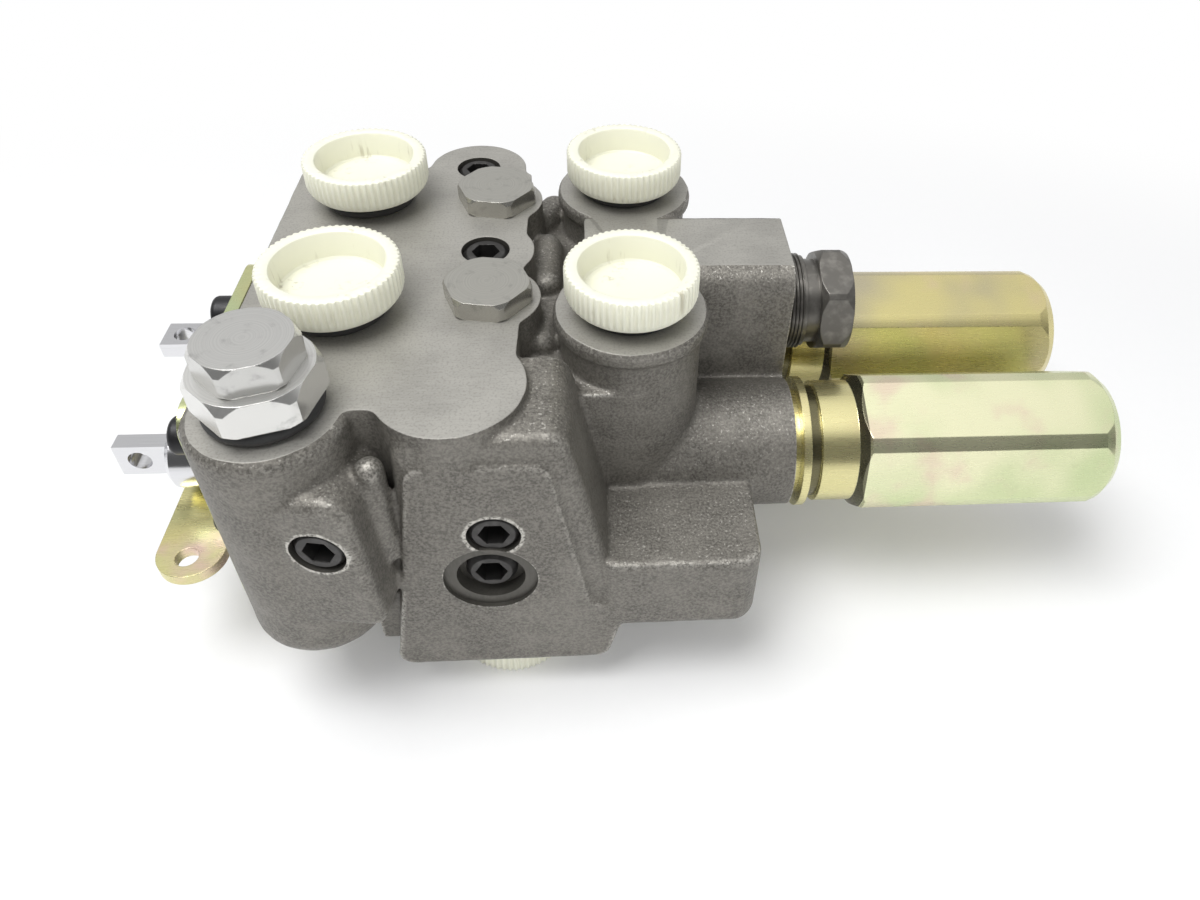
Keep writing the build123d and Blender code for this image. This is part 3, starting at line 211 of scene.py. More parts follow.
# The photograph's width and its optical centre's shift in pixels, and the sensor's width in millimetres
PHOTO_WIDTH = 1200
CENTRE_SHIFT = (-80.07, -85.65)
SENSOR_WIDTH = 36.0


def tint(default, name, description):
    """Colour property with its default."""
    return FloatVectorProperty(
        name=name, description=description, subtype="COLOR", size=3, min=0.0, max=1.0, default=default
    )


def length(default, name, description):
    """Length property with its default in metres."""
    return FloatProperty(name=name, description=description, unit="LENGTH", default=default, precision=5)


def tilt(degrees, name, description):
    """Angle property with its default in degrees."""
    return FloatProperty(name=name, description=description, subtype="ANGLE", default=radians(degrees))


def amount(default, name, description):
    """Property for a plain number."""
    return FloatProperty(name=name, description=description, default=default)


def count(default, low, high, name, description):
    """Whole-number property with its default and its limits."""
    return IntProperty(name=name, description=description, default=default, min=low, max=high)


class CastingLooks(bpy.types.PropertyGroup):
    cast: tint((0.225, 0.213, 0.188), "Cast iron", "Colour of the unmachined casting")
    # Also painted into the casting's hollows as painted shade.
    cast_dark: tint((0.105, 0.098, 0.086), "Cast hollows", "Colour in the pores and pits of the casting")
    # Painted on proud edges as rubbed wear and painted highlight, and as painted glints on upward faces.
    cast_bright: tint((0.620, 0.600, 0.550), "Cast edges", "Colour where the skin is rubbed on the edges")
    milled: tint((0.400, 0.388, 0.355), "Milled face", "Colour of the milled faces")
    # Dark for an oil film and for painted shade inside the holes.
    bored: tint((0.120, 0.114, 0.100), "Bored hole", "Colour of the oily walls of the holes")
    grain: length(0.0007, "Grain", "Size of the sand grain on the casting")
    voxel: length(0.0006, "Detail", "Size of the smallest form on the cast skin")
    rounds: count(1, 0, 12, "Rounds", "How often the cast skin is smoothed")


class FittingLooks(bpy.types.PropertyGroup):
    turned: tint((0.480, 0.470, 0.430), "Turned steel", "Colour of the check plugs")
    bright: tint((0.740, 0.735, 0.710), "Bright steel", "Colour of the relief valve")
    dull: tint((0.060, 0.058, 0.056), "Socket plugs", "Colour of the small flush plugs")
    oiled: tint((0.150, 0.143, 0.130), "Oiled steel", "Colour of the large plug on the end")
    chrome: tint((0.780, 0.780, 0.800), "Plated spool", "Colour of the ground and plated spools")
    black: tint((0.022, 0.022, 0.024), "Black oxide", "Colour of the blackened plug and screws")
    seal: tint((0.012, 0.012, 0.012), "Seal rubber", "Colour of the seal rings")
    spring: tint((0.300, 0.300, 0.320), "Spring steel", "Colour of the springs")


class ZincLooks(bpy.types.PropertyGroup):
    pale: tint((0.840, 0.830, 0.560), "Pale plate", "Main colour of the front spring cap")
    gold: tint((0.720, 0.640, 0.300), "Gold plate", "Yellow part of the sheen")
    ochre: tint((0.520, 0.470, 0.330), "Ochre plate", "Main colour of the rear spring cap")
    green: tint((0.600, 0.680, 0.390), "Green plate", "Green part of the sheen")
    pink: tint((0.760, 0.540, 0.480), "Pink plate", "Pink part of the sheen")
    # Painted near black into the spring caps' groove and collar bands as painted shade.
    groove_shade: tint((0.060, 0.054, 0.034), "Groove", "Colour of the dirt in the spring caps' grooves")


class CapLooks(bpy.types.PropertyGroup):
    plastic: tint((0.830, 0.825, 0.690), "Cap plastic", "Colour of the moulded caps")
    ribs: count(60, 12, 96, "Ribs", "Grip ribs round each cap")
    rib_depth: length(0.00045, "Rib depth", "How far the grooves between the ribs go in")


class StudioLooks(bpy.types.PropertyGroup):
    floor: tint((0.900, 0.900, 0.900), "Floor", "Colour of the floor")
    floor_size: length(3.0, "Floor size", "Side of the floor")
    fade_start: length(0.15, "Fade start", "Distance from the object's middle where the floor starts to fade")
    fade_end: length(0.34, "Fade end", "Distance where the floor is the background's white")
    eye: FloatVectorProperty(
        name="Eye",
        description="Place of the camera",
        subtype="TRANSLATION",
        unit="LENGTH",
        size=3,
        default=(0.02885, -0.20743, 0.22938),
    )
    pitch: tilt(40.8, "Pitch", "Camera's angle below level")
    yaw: tilt(6.92, "Yaw", "Camera's turn to the right")
    roll: tilt(-3.74, "Roll", "Camera's turn about its line of sight")
    lens: amount(27.51, "Lens", "Focal length on a 36 mm sensor, in millimetres")
    sky: amount(0.55, "Sky", "Strength of the soft light from all round")
    key_power: amount(9.0, "Key light", "Power of the large lamp overhead, in watts")
    fill_power: amount(3.0, "Fill light", "Power of the lamp beside the camera, in watts")


class Flow:
    """A socket that adds Math nodes when it is used in an expression."""

    def __init__(self, recipe, socket):
        self.recipe = recipe
        self.socket = socket

    def math(self, operation, *others):
        inputs = dict(enumerate((self, *others)))
        return self.recipe.node("ShaderNodeMath", {"operation": operation}, inputs)

    def __add__(self, other):
        return self.math("ADD", other)

    __radd__ = __add__

    def __sub__(self, other):
        return self.math("SUBTRACT", other)

    def __rsub__(self, other):
        return self.recipe.node("ShaderNodeMath", {"operation": "SUBTRACT"}, {0: other, 1: self})

    def __mul__(self, other):
        return self.math("MULTIPLY", other)

    def __gt__(self, other):
        return self.math("GREATER_THAN", other)

    def __lt__(self, other):
        return self.math("LESS_THAN", other)


class Recipe:
    """One material, or the world, and the calls that fill its node tree."""

    def __init__(self, name, world=None):
        self.owner = world or bpy.data.materials.new(name)
        self.owner.use_nodes = True
        self.tree = self.owner.node_tree
        self.surface = self.tree.nodes.get("Principled BSDF")

    def node(self, kind, settings=None, inputs=None, output=0):
        """Adds a node: its settings first, then the values or links of its sockets."""
        made = self.tree.nodes.new(kind)
        for key, value in (settings or {}).items():
            setattr(made, key, value)
        for key, value in (inputs or {}).items():
            self.feed(made.inputs[key], value)
        return Flow(self, made.outputs[output])

    def feed(self, socket, value):
        """Links a flow to a socket, or writes a plain value on it."""
        if isinstance(value, Flow):
            self.tree.links.new(value.socket, socket)
        elif socket.type == "RGBA":
            socket.default_value = (*value, 1.0)
        else:
            socket.default_value = value

    def finish(self, **sockets):
        """Feeds the surface shader and gives back the material."""
        for name, value in sockets.items():
            self.feed(self.surface.inputs[name.replace("_", " ").title()], value)
        return self.owner

    def rays(self, *kinds):
        """1 for the light paths of these kinds, else 0."""
        paths = [self.node("ShaderNodeLightPath", output=f"Is {kind} Ray") for kind in kinds]
        found = paths[0]
        for path in paths[1:]:
            found = found.math("MAXIMUM", path)
        return found

    def soft_edges(self, radius):
        """The surface's direction with its sharp edges rounded."""
        return self.node("ShaderNodeBevel", {"samples": 4}, {"Radius": radius})

    def rings(self, centre, size):
        """Noise that follows circles about an upright axis, as a lathe's marks do."""
        away = self.distance(centre, (1.0, 1.0, 0.0))
        inputs = {"W": away, "Scale": 1.0 / size, "Detail": 2.0}
        return self.node("ShaderNodeTexNoise", {"noise_dimensions": "1D"}, inputs)

    def distance(self, centre, shares):
        """How far the point is from an upright axis, with each direction's share in it."""
        offset = self.vector("SUBTRACT", self.place(), (*centre, 0.0))
        level = self.vector("MULTIPLY", offset, shares)
        return self.node("ShaderNodeVectorMath", {"operation": "LENGTH"}, {0: level}, output=1)

    def vector(self, operation, first, second):
        """Vector Math between two vectors."""
        return self.node("ShaderNodeVectorMath", {"operation": operation}, {0: first, 1: second})

    def place(self):
        """The point on the object, in metres."""
        return self.node("ShaderNodeTexCoord", output="Object")

    def facing(self):
        """The surface's own direction, in the object's frame."""
        return self.node("ShaderNodeTexCoord", output="Normal")

    def part_of(self, vector, axis):
        """One component of a vector flow."""
        return self.node("ShaderNodeSeparateXYZ", inputs={0: vector}, output=axis)

    def noise(self, size, detail=3.0, roughness=0.5, stretch=(1.0, 1.0, 1.0)):
        """Noise whose features are about size across, in metres."""
        point = self.vector("MULTIPLY", self.place(), stretch)
        inputs = {"Vector": point, "Scale": 1.0 / size, "Detail": detail, "Roughness": roughness}
        return self.node("ShaderNodeTexNoise", inputs=inputs)

    def step(self, value, low, high):
        """0 below low and 1 above high, smoothly between."""
        settings = {"interpolation_type": "SMOOTHSTEP"}
        return self.node("ShaderNodeMapRange", settings, {"Value": value, "From Min": low, "From Max": high})

    def mix(self, factor, first, second):
        """Colour between two, by a factor; the numbers are the Mix node's sockets for colours."""
        return self.node("ShaderNodeMix", {"data_type": "RGBA"}, {0: factor, 6: first, 7: second}, output=2)

    def bump(self, height, depth, strength=1.0, below=None):
        """Normal from a height flow; depth is in metres for a height of 1."""
        inputs = {"Height": height, "Distance": depth, "Strength": strength}
        if below is not None:
            inputs["Normal"] = below
        return self.node("ShaderNodeBump", inputs=inputs)


def scaled(colour, share):
    """A colour made darker or lighter."""
    return [share * part for part in colour]


def cast_finish(looks):
    """Sand-cast iron skin: rubbed wear and painted highlight on its edges, painted glints, painted shade in
    hollows.
    """
    recipe = Recipe("cast_iron")
    up = recipe.part_of(recipe.facing(), "Z")
    proud = recipe.node("ShaderNodeAttribute", {"attribute_name": "proud"}, output="Fac")
    # Proud edges are painted lighter: partly rubbed wear, partly painted highlight.
    rub_and_highlight = recipe.step(proud, 0.10, 0.55)
    # Hollows below the smoothed skin are darkened: painted shade.
    hollow_shade = recipe.step(0 - proud, 0.04, 0.60)
    sand = recipe.noise(looks.grain, detail=4.0, roughness=0.65)
    clouds = recipe.noise(0.012, detail=3.0)
    pits = recipe.step(recipe.noise(0.0016, detail=2.0), 0.58, 0.70)
    colour = recipe.mix(recipe.step(sand, 0.34, 0.64), looks.cast_dark, looks.cast)
    colour = recipe.mix(recipe.step(clouds, 0.35, 0.7) * 0.35, colour, scaled(looks.cast, 1.25))
    colour = recipe.mix(pits * 0.5, colour, looks.cast_dark)
    colour = recipe.mix(hollow_shade * 0.8, colour, looks.cast_dark)
    # Painted glints, kept below to faces that turn upward, join the edges' painted highlight.
    glint = recipe.step(recipe.noise(0.0008, detail=2.0), 0.60, 0.70)
    bright = (rub_and_highlight * 0.9 + glint * recipe.step(up, 0.0, 0.9) * 0.6) * recipe.step(sand, 0.34, 0.60)
    colour = recipe.mix(bright, colour, looks.cast_bright)
    skin = recipe.bump(sand, 0.20 * MM, 0.9, recipe.soft_edges(0.5 * MM))
    return recipe.finish(
        base_color=colour,
        metallic=0.50 + bright * 0.3,
        roughness=0.42 + sand * 0.12 - bright * 0.14,
        normal=recipe.bump(recipe.noise(0.004, detail=3.0), 0.5 * MM, 0.4, skin),
    )


def milled_finish(looks):
    """Milled iron with fine cutter marks, pores and faint stains."""
    recipe = Recipe("milled_iron")
    marks = recipe.noise(0.00035, detail=2.0, stretch=(0.08, 1.0, 1.0))
    pores = recipe.step(recipe.noise(0.0006, detail=3.0), 0.48, 0.66)
    stains = recipe.noise(0.014, detail=3.0)
    colour = recipe.mix(recipe.step(stains, 0.35, 0.7), looks.milled, scaled(looks.milled, 0.84))
    colour = recipe.mix(recipe.step(marks, 0.35, 0.7) * 0.12, colour, (0.60, 0.585, 0.545))
    colour = recipe.mix(pores * 0.30, colour, scaled(looks.milled, 0.45))
    cut = recipe.bump(marks, 0.02 * MM, 0.5, recipe.soft_edges(0.5 * MM))
    return recipe.finish(base_color=colour, metallic=0.55, roughness=0.40 + marks * 0.1, normal=cut)


def bored_finish(looks):
    """Wall of a drilled or bored hole, dark partly from an oil film and partly as painted shade inside the
    hole.
    """
    recipe = Recipe("bored_iron")
    marks = recipe.noise(0.0006, detail=2.0, stretch=(1.0, 1.0, 0.2))
    colour = recipe.mix(marks, looks.bored, scaled(looks.bored, 0.7))
    return recipe.finish(base_color=colour, metallic=0.6, roughness=0.38 + marks * 0.15)


def turned_finish(name, colour, centre):
    """Turned steel with a lathe's circles about an upright axis and faint stains."""
    recipe = Recipe(name)
    lines = recipe.rings(centre, 0.00035)
    top = recipe.step(recipe.part_of(recipe.facing(), "Z"), 0.6, 0.95)
    stains = recipe.noise(0.0035, detail=5.0, roughness=0.65)
    shade = recipe.mix(recipe.step(stains, 0.55, 0.74) * 0.5, colour, scaled(colour, 0.5))
    shade = recipe.mix(recipe.step(lines, 0.35, 0.65) * top * 0.3, shade, scaled(colour, 0.66))
    cut = recipe.bump(lines * top, 0.02 * MM, 0.5, recipe.soft_edges(0.3 * MM))
    return recipe.finish(base_color=shade, metallic=0.85, roughness=0.24 + lines * top * 0.18, normal=cut)


def steel_finish(name, colour, roughness):
    """Machined steel under a film of oil, a little lighter where it is handled."""
    recipe = Recipe(name)
    wear = recipe.noise(0.003, detail=4.0)
    grain = recipe.noise(0.0005, detail=2.0)
    shade = recipe.mix(recipe.step(wear, 0.45, 0.75) * 0.6, colour, scaled(colour, 1.9))
    cut = recipe.bump(grain, 0.02 * MM, 0.4, recipe.soft_edges(0.35 * MM))
    return recipe.finish(base_color=shade, metallic=0.8, roughness=roughness + grain * 0.15, normal=cut)


def chrome_finish(looks):
    """Ground and plated spool steel."""
    recipe = Recipe("chrome_steel")
    lines = recipe.noise(0.0005, detail=2.0, stretch=(0.06, 1.0, 1.0))
    colour = recipe.mix(lines, looks.chrome, scaled(looks.chrome, 0.86))
    return recipe.finish(base_color=colour, metallic=1.0, roughness=0.12 + lines * 0.10)


def zinc_finish(name, looks, first, second, blush, turned=False):
    """Passivated zinc in two colours with a pink blush; a turned neck is deeper in colour, with painted shade
    in its bands.
    """
    recipe = Recipe(name)
    drift = recipe.noise(0.038, detail=2.0)
    patch = recipe.noise(0.016, detail=3.0)
    colour = recipe.mix(recipe.step(drift, 0.36, 0.66), first, second)
    colour = recipe.mix(recipe.step(patch, 0.50, 0.74) * blush, colour, looks.pink)
    smuts = recipe.step(recipe.noise(0.005, detail=5.0, roughness=0.7), 0.60, 0.78)
    colour = recipe.mix(smuts * 0.18, colour, scaled(first, 0.4))
    if turned:
        along = recipe.part_of(recipe.place(), "X") * (1 / MM) - BODY_HIGH[0] / MM
        colour = recipe.mix((along < NECK_END) * 0.75, colour, looks.gold)
        # The groove and collar bands are painted near black: painted shade at the groove and the collar.
        for start, end in (GROOVE_BAND, COLLAR_BAND):
            colour = recipe.mix((along > start) * (along < end) * 0.85, colour, looks.groove_shade)
    grain = recipe.noise(0.0005, detail=2.0, stretch=(0.1, 1.0, 1.0))
    rough = 0.22 + grain * 0.12 + smuts * 0.1
    cut = recipe.bump(grain, 0.015 * MM, 0.4, recipe.soft_edges(0.35 * MM))
    return recipe.finish(base_color=colour, metallic=0.9, roughness=rough, normal=cut)


def black_finish(looks):
    """Black oxide on machined steel."""
    recipe = Recipe("black_oxide")
    wear = recipe.noise(0.003, detail=4.0)
    colour = recipe.mix(recipe.step(wear, 0.58, 0.75) * 0.5, looks.black, (0.10, 0.095, 0.09))
    skin = recipe.bump(wear, 0.03 * MM, 0.3)
    return recipe.finish(base_color=colour, metallic=0.5, roughness=0.34 + wear * 0.2, normal=skin)


def seal_finish(looks):
    """Moulded seal rubber."""
    recipe = Recipe("seal_rubber")
    mottle = recipe.noise(0.0015, detail=3.0)
    colour = recipe.mix(mottle, looks.seal, (0.03, 0.03, 0.03))
    return recipe.finish(base_color=colour, roughness=0.45 + mottle * 0.2)


def spring_finish(looks):
    """Drawn spring wire."""
    recipe = Recipe("spring_steel")
    mottle = recipe.noise(0.002, detail=3.0)
    colour = recipe.mix(mottle, looks.spring, scaled(looks.spring, 0.7))
    return recipe.finish(base_color=colour, metallic=0.9, roughness=0.3 + mottle * 0.2)


def plastic_finish(looks):
    """Moulded cap plastic with a little dirt."""
    recipe = Recipe("cap_plastic")
    streaks = recipe.noise(0.0016, detail=3.0, stretch=(1.0, 1.0, 0.10))
    dirt = recipe.step(recipe.noise(0.009, detail=4.0), 0.50, 0.72) * recipe.step(streaks, 0.52, 0.66)
    mottle = recipe.noise(0.02, detail=2.0)
    colour = recipe.mix(mottle, looks.plastic, scaled(looks.plastic, 0.95))
    colour = recipe.mix(dirt * 0.55, colour, (0.34, 0.30, 0.20))
    fine = recipe.noise(0.0008, detail=2.0)
    return recipe.finish(
        base_color=colour,
        roughness=0.38 + dirt * 0.2,
        normal=recipe.bump(fine, 0.02 * MM, 0.3),
        subsurface_weight=0.20,
        subsurface_radius=(1.0, 1.0, 1.0),
        subsurface_scale=0.004,
    )


def middle(node):
    """The place of a node's upright axis, as X and Y."""
    low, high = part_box(node)
    return (low[0] + high[0]) / 2, (low[1] + high[1]) / 2


def dress(nodes, material):
    """Gives CAD nodes one material."""
    for name in nodes:
        node = frame["nodes"][name]
        node.data.materials.clear()
        node.data.materials.append(material)


def settle(piece):
    """Applies a piece's modifiers to its mesh."""
    done = bpy.data.meshes.new_from_object(piece.evaluated_get(bpy.context.evaluated_depsgraph_get()))
    old, piece.data = piece.data, done
    piece.modifiers.clear()
    bpy.data.meshes.remove(old)


def stitch(shape, rings):
    """Faces between each ring of corners and the next."""
    for lower, upper in zip(rings, rings[1:]):
        for step in range(len(lower)):
            following = (step + 1) % len(lower)
            shape.faces.new((lower[step], lower[following], upper[following], upper[step]))


def close_ends(shape, rings):
    """One face over the first ring of corners and one over the last."""
    shape.faces.new(list(reversed(rings[0])))
    shape.faces.new(rings[-1])


def lathe(shape, start, way, profile, segments=48):
    """Adds a closed turned form to a shape: radius and distance pairs in millimetres along a line."""
    turn = Vector(way).to_track_quat("Z", "Y").to_matrix()
    rings = []
    for radius, distance in profile:
        corners = []
        for step in range(segments):
            angle = 2 * pi * step / segments
            local = Vector((radius * cos(angle), radius * sin(angle), distance))
            corners.append(shape.verts.new((Vector(start) + turn @ local) * MM))
        rings.append(corners)
    stitch(shape, rings)
    close_ends(shape, rings)


def turned_mesh(name, profile, segments, radius_at=None, closed=False):
    """Mesh object turned about its own Z from radius and height pairs; closed makes a ring of them."""
    mesh = bpy.data.meshes.new(name)
    shape = bmesh.new()
    rings = []
    for radius, height in profile:
        corners = []
        for step in range(segments):
            angle = 2 * pi * step / segments
            r = radius_at(radius, height, step) if radius_at else radius
            corners.append(shape.verts.new((r * cos(angle), r * sin(angle), height)))
        rings.append(corners)
    if closed:
        stitch(shape, [*rings, rings[0]])
    else:
        stitch(shape, rings)
        close_ends(shape, rings)
    bmesh.ops.recalc_face_normals(shape, faces=shape.faces)
    shape.to_mesh(mesh)
    shape.free()
    made = bpy.data.objects.new(name, mesh)
    bpy.context.collection.objects.link(made)
    shade_smooth(mesh, TURNED_EDGE)
    return made


def shade_smooth(mesh, edge_angle):
    """Smooth faces, but for edges sharper than an angle."""
    for polygon in mesh.polygons:
        polygon.use_smooth = True
    mesh.set_sharp_from_angle(angle=edge_angle)


def smoothed(piece, steps):
    """Puts a smoothing modifier on a piece."""
    smooth = piece.modifiers.new("smooth", "SMOOTH")
    smooth.factor = SMOOTHING
    smooth.iterations = steps


def corners_and_ways(mesh):
    """Places and directions of a mesh's corners, all read before any of them is moved."""
    return [vertex.co.copy() for vertex in mesh.vertices], [vertex.normal.copy() for vertex in mesh.vertices]


class VALVE_OT_casting(bpy.types.Operator):
    """Moulds the rounded cast skin, then mills its faces and drills its holes"""

    bl_idname = "valve.casting"
    bl_label = "Casting"

    def execute(self, context):
        looks = context.scene.valve_casting
        finishes = cast_finish(looks), milled_finish(looks), bored_finish(looks)
        dress(["valve_body"], finishes[0])
        body = self.pour(looks.voxel)
        for _ in range(looks.rounds):
            self.soften(body)
        self.ripple(body)
        for finish in finishes:
            body.data.materials.append(finish)
        for axis in MILLED_AXES:
            self.cut(body, self.mills(axis), MILLED)
        self.cut(body, self.drills(), BORED)
        shade_smooth(body.data, CASTING_EDGE)
        self.weigh(body)
        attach(body, "housing")
        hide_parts("valve_body")
        return {"FINISHED"}

    def pour(self, voxel):
        """Copy of the casting as one skin of even faces, its milled faces raised and its holes stopped."""
        shape = bmesh.new()
        shape.from_mesh(frame["nodes"]["valve_body"].data)
        for vertex in shape.verts:
            for axis in MILLED_AXES:
                if vertex.co[axis] > BODY_HIGH[axis] - FACE_GAP:
                    vertex.co[axis] += MILLING
                if vertex.co[axis] < BODY_LOW[axis] + FACE_GAP:
                    vertex.co[axis] -= MILLING
        mouths = [(mouth, inward, max(radius for radius, _ in steps)) for mouth, inward, steps in HOLES]
        for mouth, inward, widest in (*mouths, *EXITS):
            raised = MILLING if abs(Vector(inward).y) < 0.5 else 0.0
            stopper = widest + STOPPER_EDGE
            lathe(shape, mouth, inward, [(stopper, -raised / MM), (stopper, STOPPER_DEPTH)])
        mesh = bpy.data.meshes.new("cast_body")
        shape.to_mesh(mesh)
        shape.free()
        body = bpy.data.objects.new("cast_body", mesh)
        bpy.context.collection.objects.link(body)
        remesh = body.modifiers.new("skin", "REMESH")
        remesh.mode = "VOXEL"
        remesh.voxel_size = voxel
        settle(body)
        return body

    def soften(self, body):
        """Fills the hollow corners fully and rounds the sharp edges a little, as sand moulds do."""
        before, ways = corners_and_ways(body.data)
        smoothed(body, SOFTEN_STEPS)
        settle(body)
        for vertex, start, way in zip(body.data.vertices, before, ways):
            move = vertex.co - start
            keep = 1.0 if move.dot(way) > 0 else EDGE_SHARE
            vertex.co = start + move * keep

    def ripple(self, body):
        """Gentle waves of a sand mould over the skin."""
        _, ways = corners_and_ways(body.data)
        for vertex, way in zip(body.data.vertices, ways):
            wave = sum(noise.noise(vertex.co / size) * height for size, height in WAVES)
            vertex.co -= way * (abs(wave) * MM)

    def weigh(self, body):
        """Stores how far each point stands proud of the smoothed skin: edges above 0, hollows below."""
        before, ways = corners_and_ways(body.data)
        smoothed(body, EDGE_AND_HOLLOW_STEPS)
        done = body.evaluated_get(bpy.context.evaluated_depsgraph_get())
        after = [vertex.co.copy() for vertex in done.data.vertices]
        body.modifiers.clear()
        proud = body.data.attributes.new("proud", "FLOAT", "POINT")
        heights = [(start - end).dot(way) / PROUD_HEIGHT for start, end, way in zip(before, after, ways)]
        proud.data.foreach_set("value", heights)

    def mills(self, axis):
        """Two blocks that cut the body flat at both ends of one axis."""
        shape = bmesh.new()
        low, high = Vector(BODY_LOW), Vector(BODY_HIGH)
        size = high - low + 2 * CUTTER_SIZE * Vector((1, 1, 1))
        size[axis] = CUTTER_SIZE
        for end, side in ((low, -1), (high, 1)):
            centre = (low + high) / 2
            centre[axis] = end[axis] + side * CUTTER_SIZE / 2
            block = Matrix.Translation(centre) @ Matrix.Diagonal((*size, 1.0))
            bmesh.ops.create_cube(shape, size=1.0, matrix=block)
        return shape

    def drills(self):
        """Every hole of the casting as one set of stepped cutters."""
        shape = bmesh.new()
        for mouth, inward, steps in HOLES:
            profile, start = [], DRILL_START
            for radius, depth in steps:
                profile += [(radius, start), (radius, depth)]
                start = depth
            lathe(shape, mouth, inward, profile)
        return shape

    def cut(self, body, shape, finish):
        """Takes a cutter's shape out of the body and leaves the cut faces with one of its finishes."""
        for face in shape.faces:
            face.material_index = finish
        mesh = bpy.data.meshes.new("cutter")
        shape.to_mesh(mesh)
        shape.free()
        cutter = bpy.data.objects.new("cutter", mesh)
        bpy.context.collection.objects.link(cutter)
        bite = body.modifiers.new("bite", "BOOLEAN")
        bite.operation = "DIFFERENCE"
        bite.solver = "MANIFOLD"
        bite.object = cutter
        settle(body)
        bpy.data.objects.remove(cutter)


class VALVE_OT_fittings(bpy.types.Operator):
    """Finishes the plugs, spools, springs, seals and screws"""

    bl_idname = "valve.fittings"
    bl_label = "Fittings"

    def execute(self, context):
        looks = context.scene.valve_fittings
        finishes = {
            "turned_steel": turned_finish("turned_steel", looks.turned, (0.0, 0.0)),
            "chrome_steel": chrome_finish(looks),
            "black_oxide": black_finish(looks),
            "seal_rubber": seal_finish(looks),
            "spring_steel": spring_finish(looks),
        }
        for part in frame["record"]["subparts"]:
            if part["material_slot"] in finishes:
                dress([part["node"]], finishes[part["material_slot"]])
        for name in ("front_check_plug", "rear_check_plug"):
            dress([name], turned_finish(f"turned_{name}", looks.turned, middle(name)))
        for name, colour in (("relief_adapter", looks.bright), ("relief_cap", scaled(looks.bright, 0.82))):
            dress([name], turned_finish(f"bright_{name}", colour, middle(name)))
        dull = steel_finish("dull_steel", looks.dull, 0.34)
        dress(["top_socket_plugs", "front_socket_plugs", "pilot_plug"], dull)
        oiled = steel_finish("oiled_steel", looks.oiled, 0.28)
        dress(["power_beyond_plug"], oiled)
        self.thread(oiled)
        return {"FINISHED"}

    def thread(self, finish):
        """Visible turns of the large end plug's thread."""
        low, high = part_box("power_beyond_plug")
        profile = [(THREAD_INSIDE, 0.0)]
        for turn in range(THREAD_TURNS):
            profile += [(radius, (turn + share) * THREAD_PITCH) for share, radius in THREAD_TURN]
        profile.append((THREAD_INSIDE, THREAD_TURNS * THREAD_PITCH))
        ring = turned_mesh("end_plug_thread", profile, THREAD_SEGMENTS, closed=True)
        foot = Vector((BODY_HIGH[0], (low[1] + high[1]) / 2, (low[2] + high[2]) / 2))
        ring.data.transform(Matrix.Translation(foot) @ Matrix.Rotation(pi / 2, 4, "Y"))
        ring.data.materials.append(finish)
        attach(ring, "housing")


class VALVE_OT_plated(bpy.types.Operator):
    """Finishes the zinc-plated spring caps and bracket"""

    bl_idname = "valve.plated"
    bl_label = "Plated pieces"

    def execute(self, context):
        looks = context.scene.valve_zinc
        parts = frame["record"]["subparts"]
        plated = [part["node"] for part in parts if part["material_slot"] == "zinc_plate"]
        bracket = zinc_finish("zinc_bracket", looks, looks.gold, looks.green, 0.85)
        front = zinc_finish("zinc_front_cap", looks, looks.pale, looks.green, 0.55, turned=True)
        rear = zinc_finish("zinc_rear_cap", looks, looks.ochre, looks.gold, 0.25, turned=True)
        dress(plated, bracket)
        dress(["front_spring_cap"], front)
        dress(["rear_spring_cap"], rear)
        return {"FINISHED"}


class VALVE_OT_port_caps(bpy.types.Operator):
    """Builds the ribbed port caps in place of the plain ones"""

    bl_idname = "valve.port_caps"
    bl_label = "Port caps"

    def execute(self, context):
        looks = context.scene.valve_caps
        plastic = plastic_finish(looks)
        dress(PORT_CAPS + UNDER_CAPS, plastic)
        for name in PORT_CAPS + UNDER_CAPS:
            self.build(name, looks, plastic, 1 if name in PORT_CAPS else -1)
        return {"FINISHED"}

    def build(self, node, looks, plastic, facing):
        """One ribbed cap where its CAD node stands."""
        low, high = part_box(node)
        radius = (high[0] - low[0]) / 2
        tall = high[2] - low[2]
        floor = tall - CAP_CUP_DEPTH
        profile = [
            (CAP_SHANK - CAP_SHANK_EDGE, 0.0),
            (CAP_SHANK, CAP_SHANK_EDGE),
            (CAP_SHANK, CAP_SHANK_LENGTH),
            *((radius - across * MM, CAP_SHANK_LENGTH + up * MM) for across, up in CAP_UNDERSIDE),
            *((radius - across * MM, tall - down * MM) for across, down in CAP_RIM),
            *((CAP_CUP + across * MM, tall - down * MM) for across, down in CAP_LIP),
            *((CAP_CUP - across * MM, floor + up * MM) for across, up in CAP_FLOOR),
        ]

        def rib(r, height, step):
            """Grooves between the ribs on the flange's outside, up to the rim."""
            outside = height > CAP_SHANK_LENGTH + RIB_START and r > radius - RIB_REACH
            return r - looks.rib_depth if outside and step % RIB_POINTS < RIB_POINTS / 2 else r

        cap = turned_mesh(f"ribbed_{node}", profile, RIB_POINTS * looks.ribs, rib)
        foot = Vector(((low[0] + high[0]) / 2, (low[1] + high[1]) / 2, low[2] if facing > 0 else high[2]))
        turn = Matrix.Identity(4) if facing > 0 else Matrix.Rotation(pi, 4, "X")
        cap.data.transform(Matrix.Translation(foot) @ turn)
        cap.data.materials.append(plastic)
        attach(cap, "housing")
        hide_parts(node)


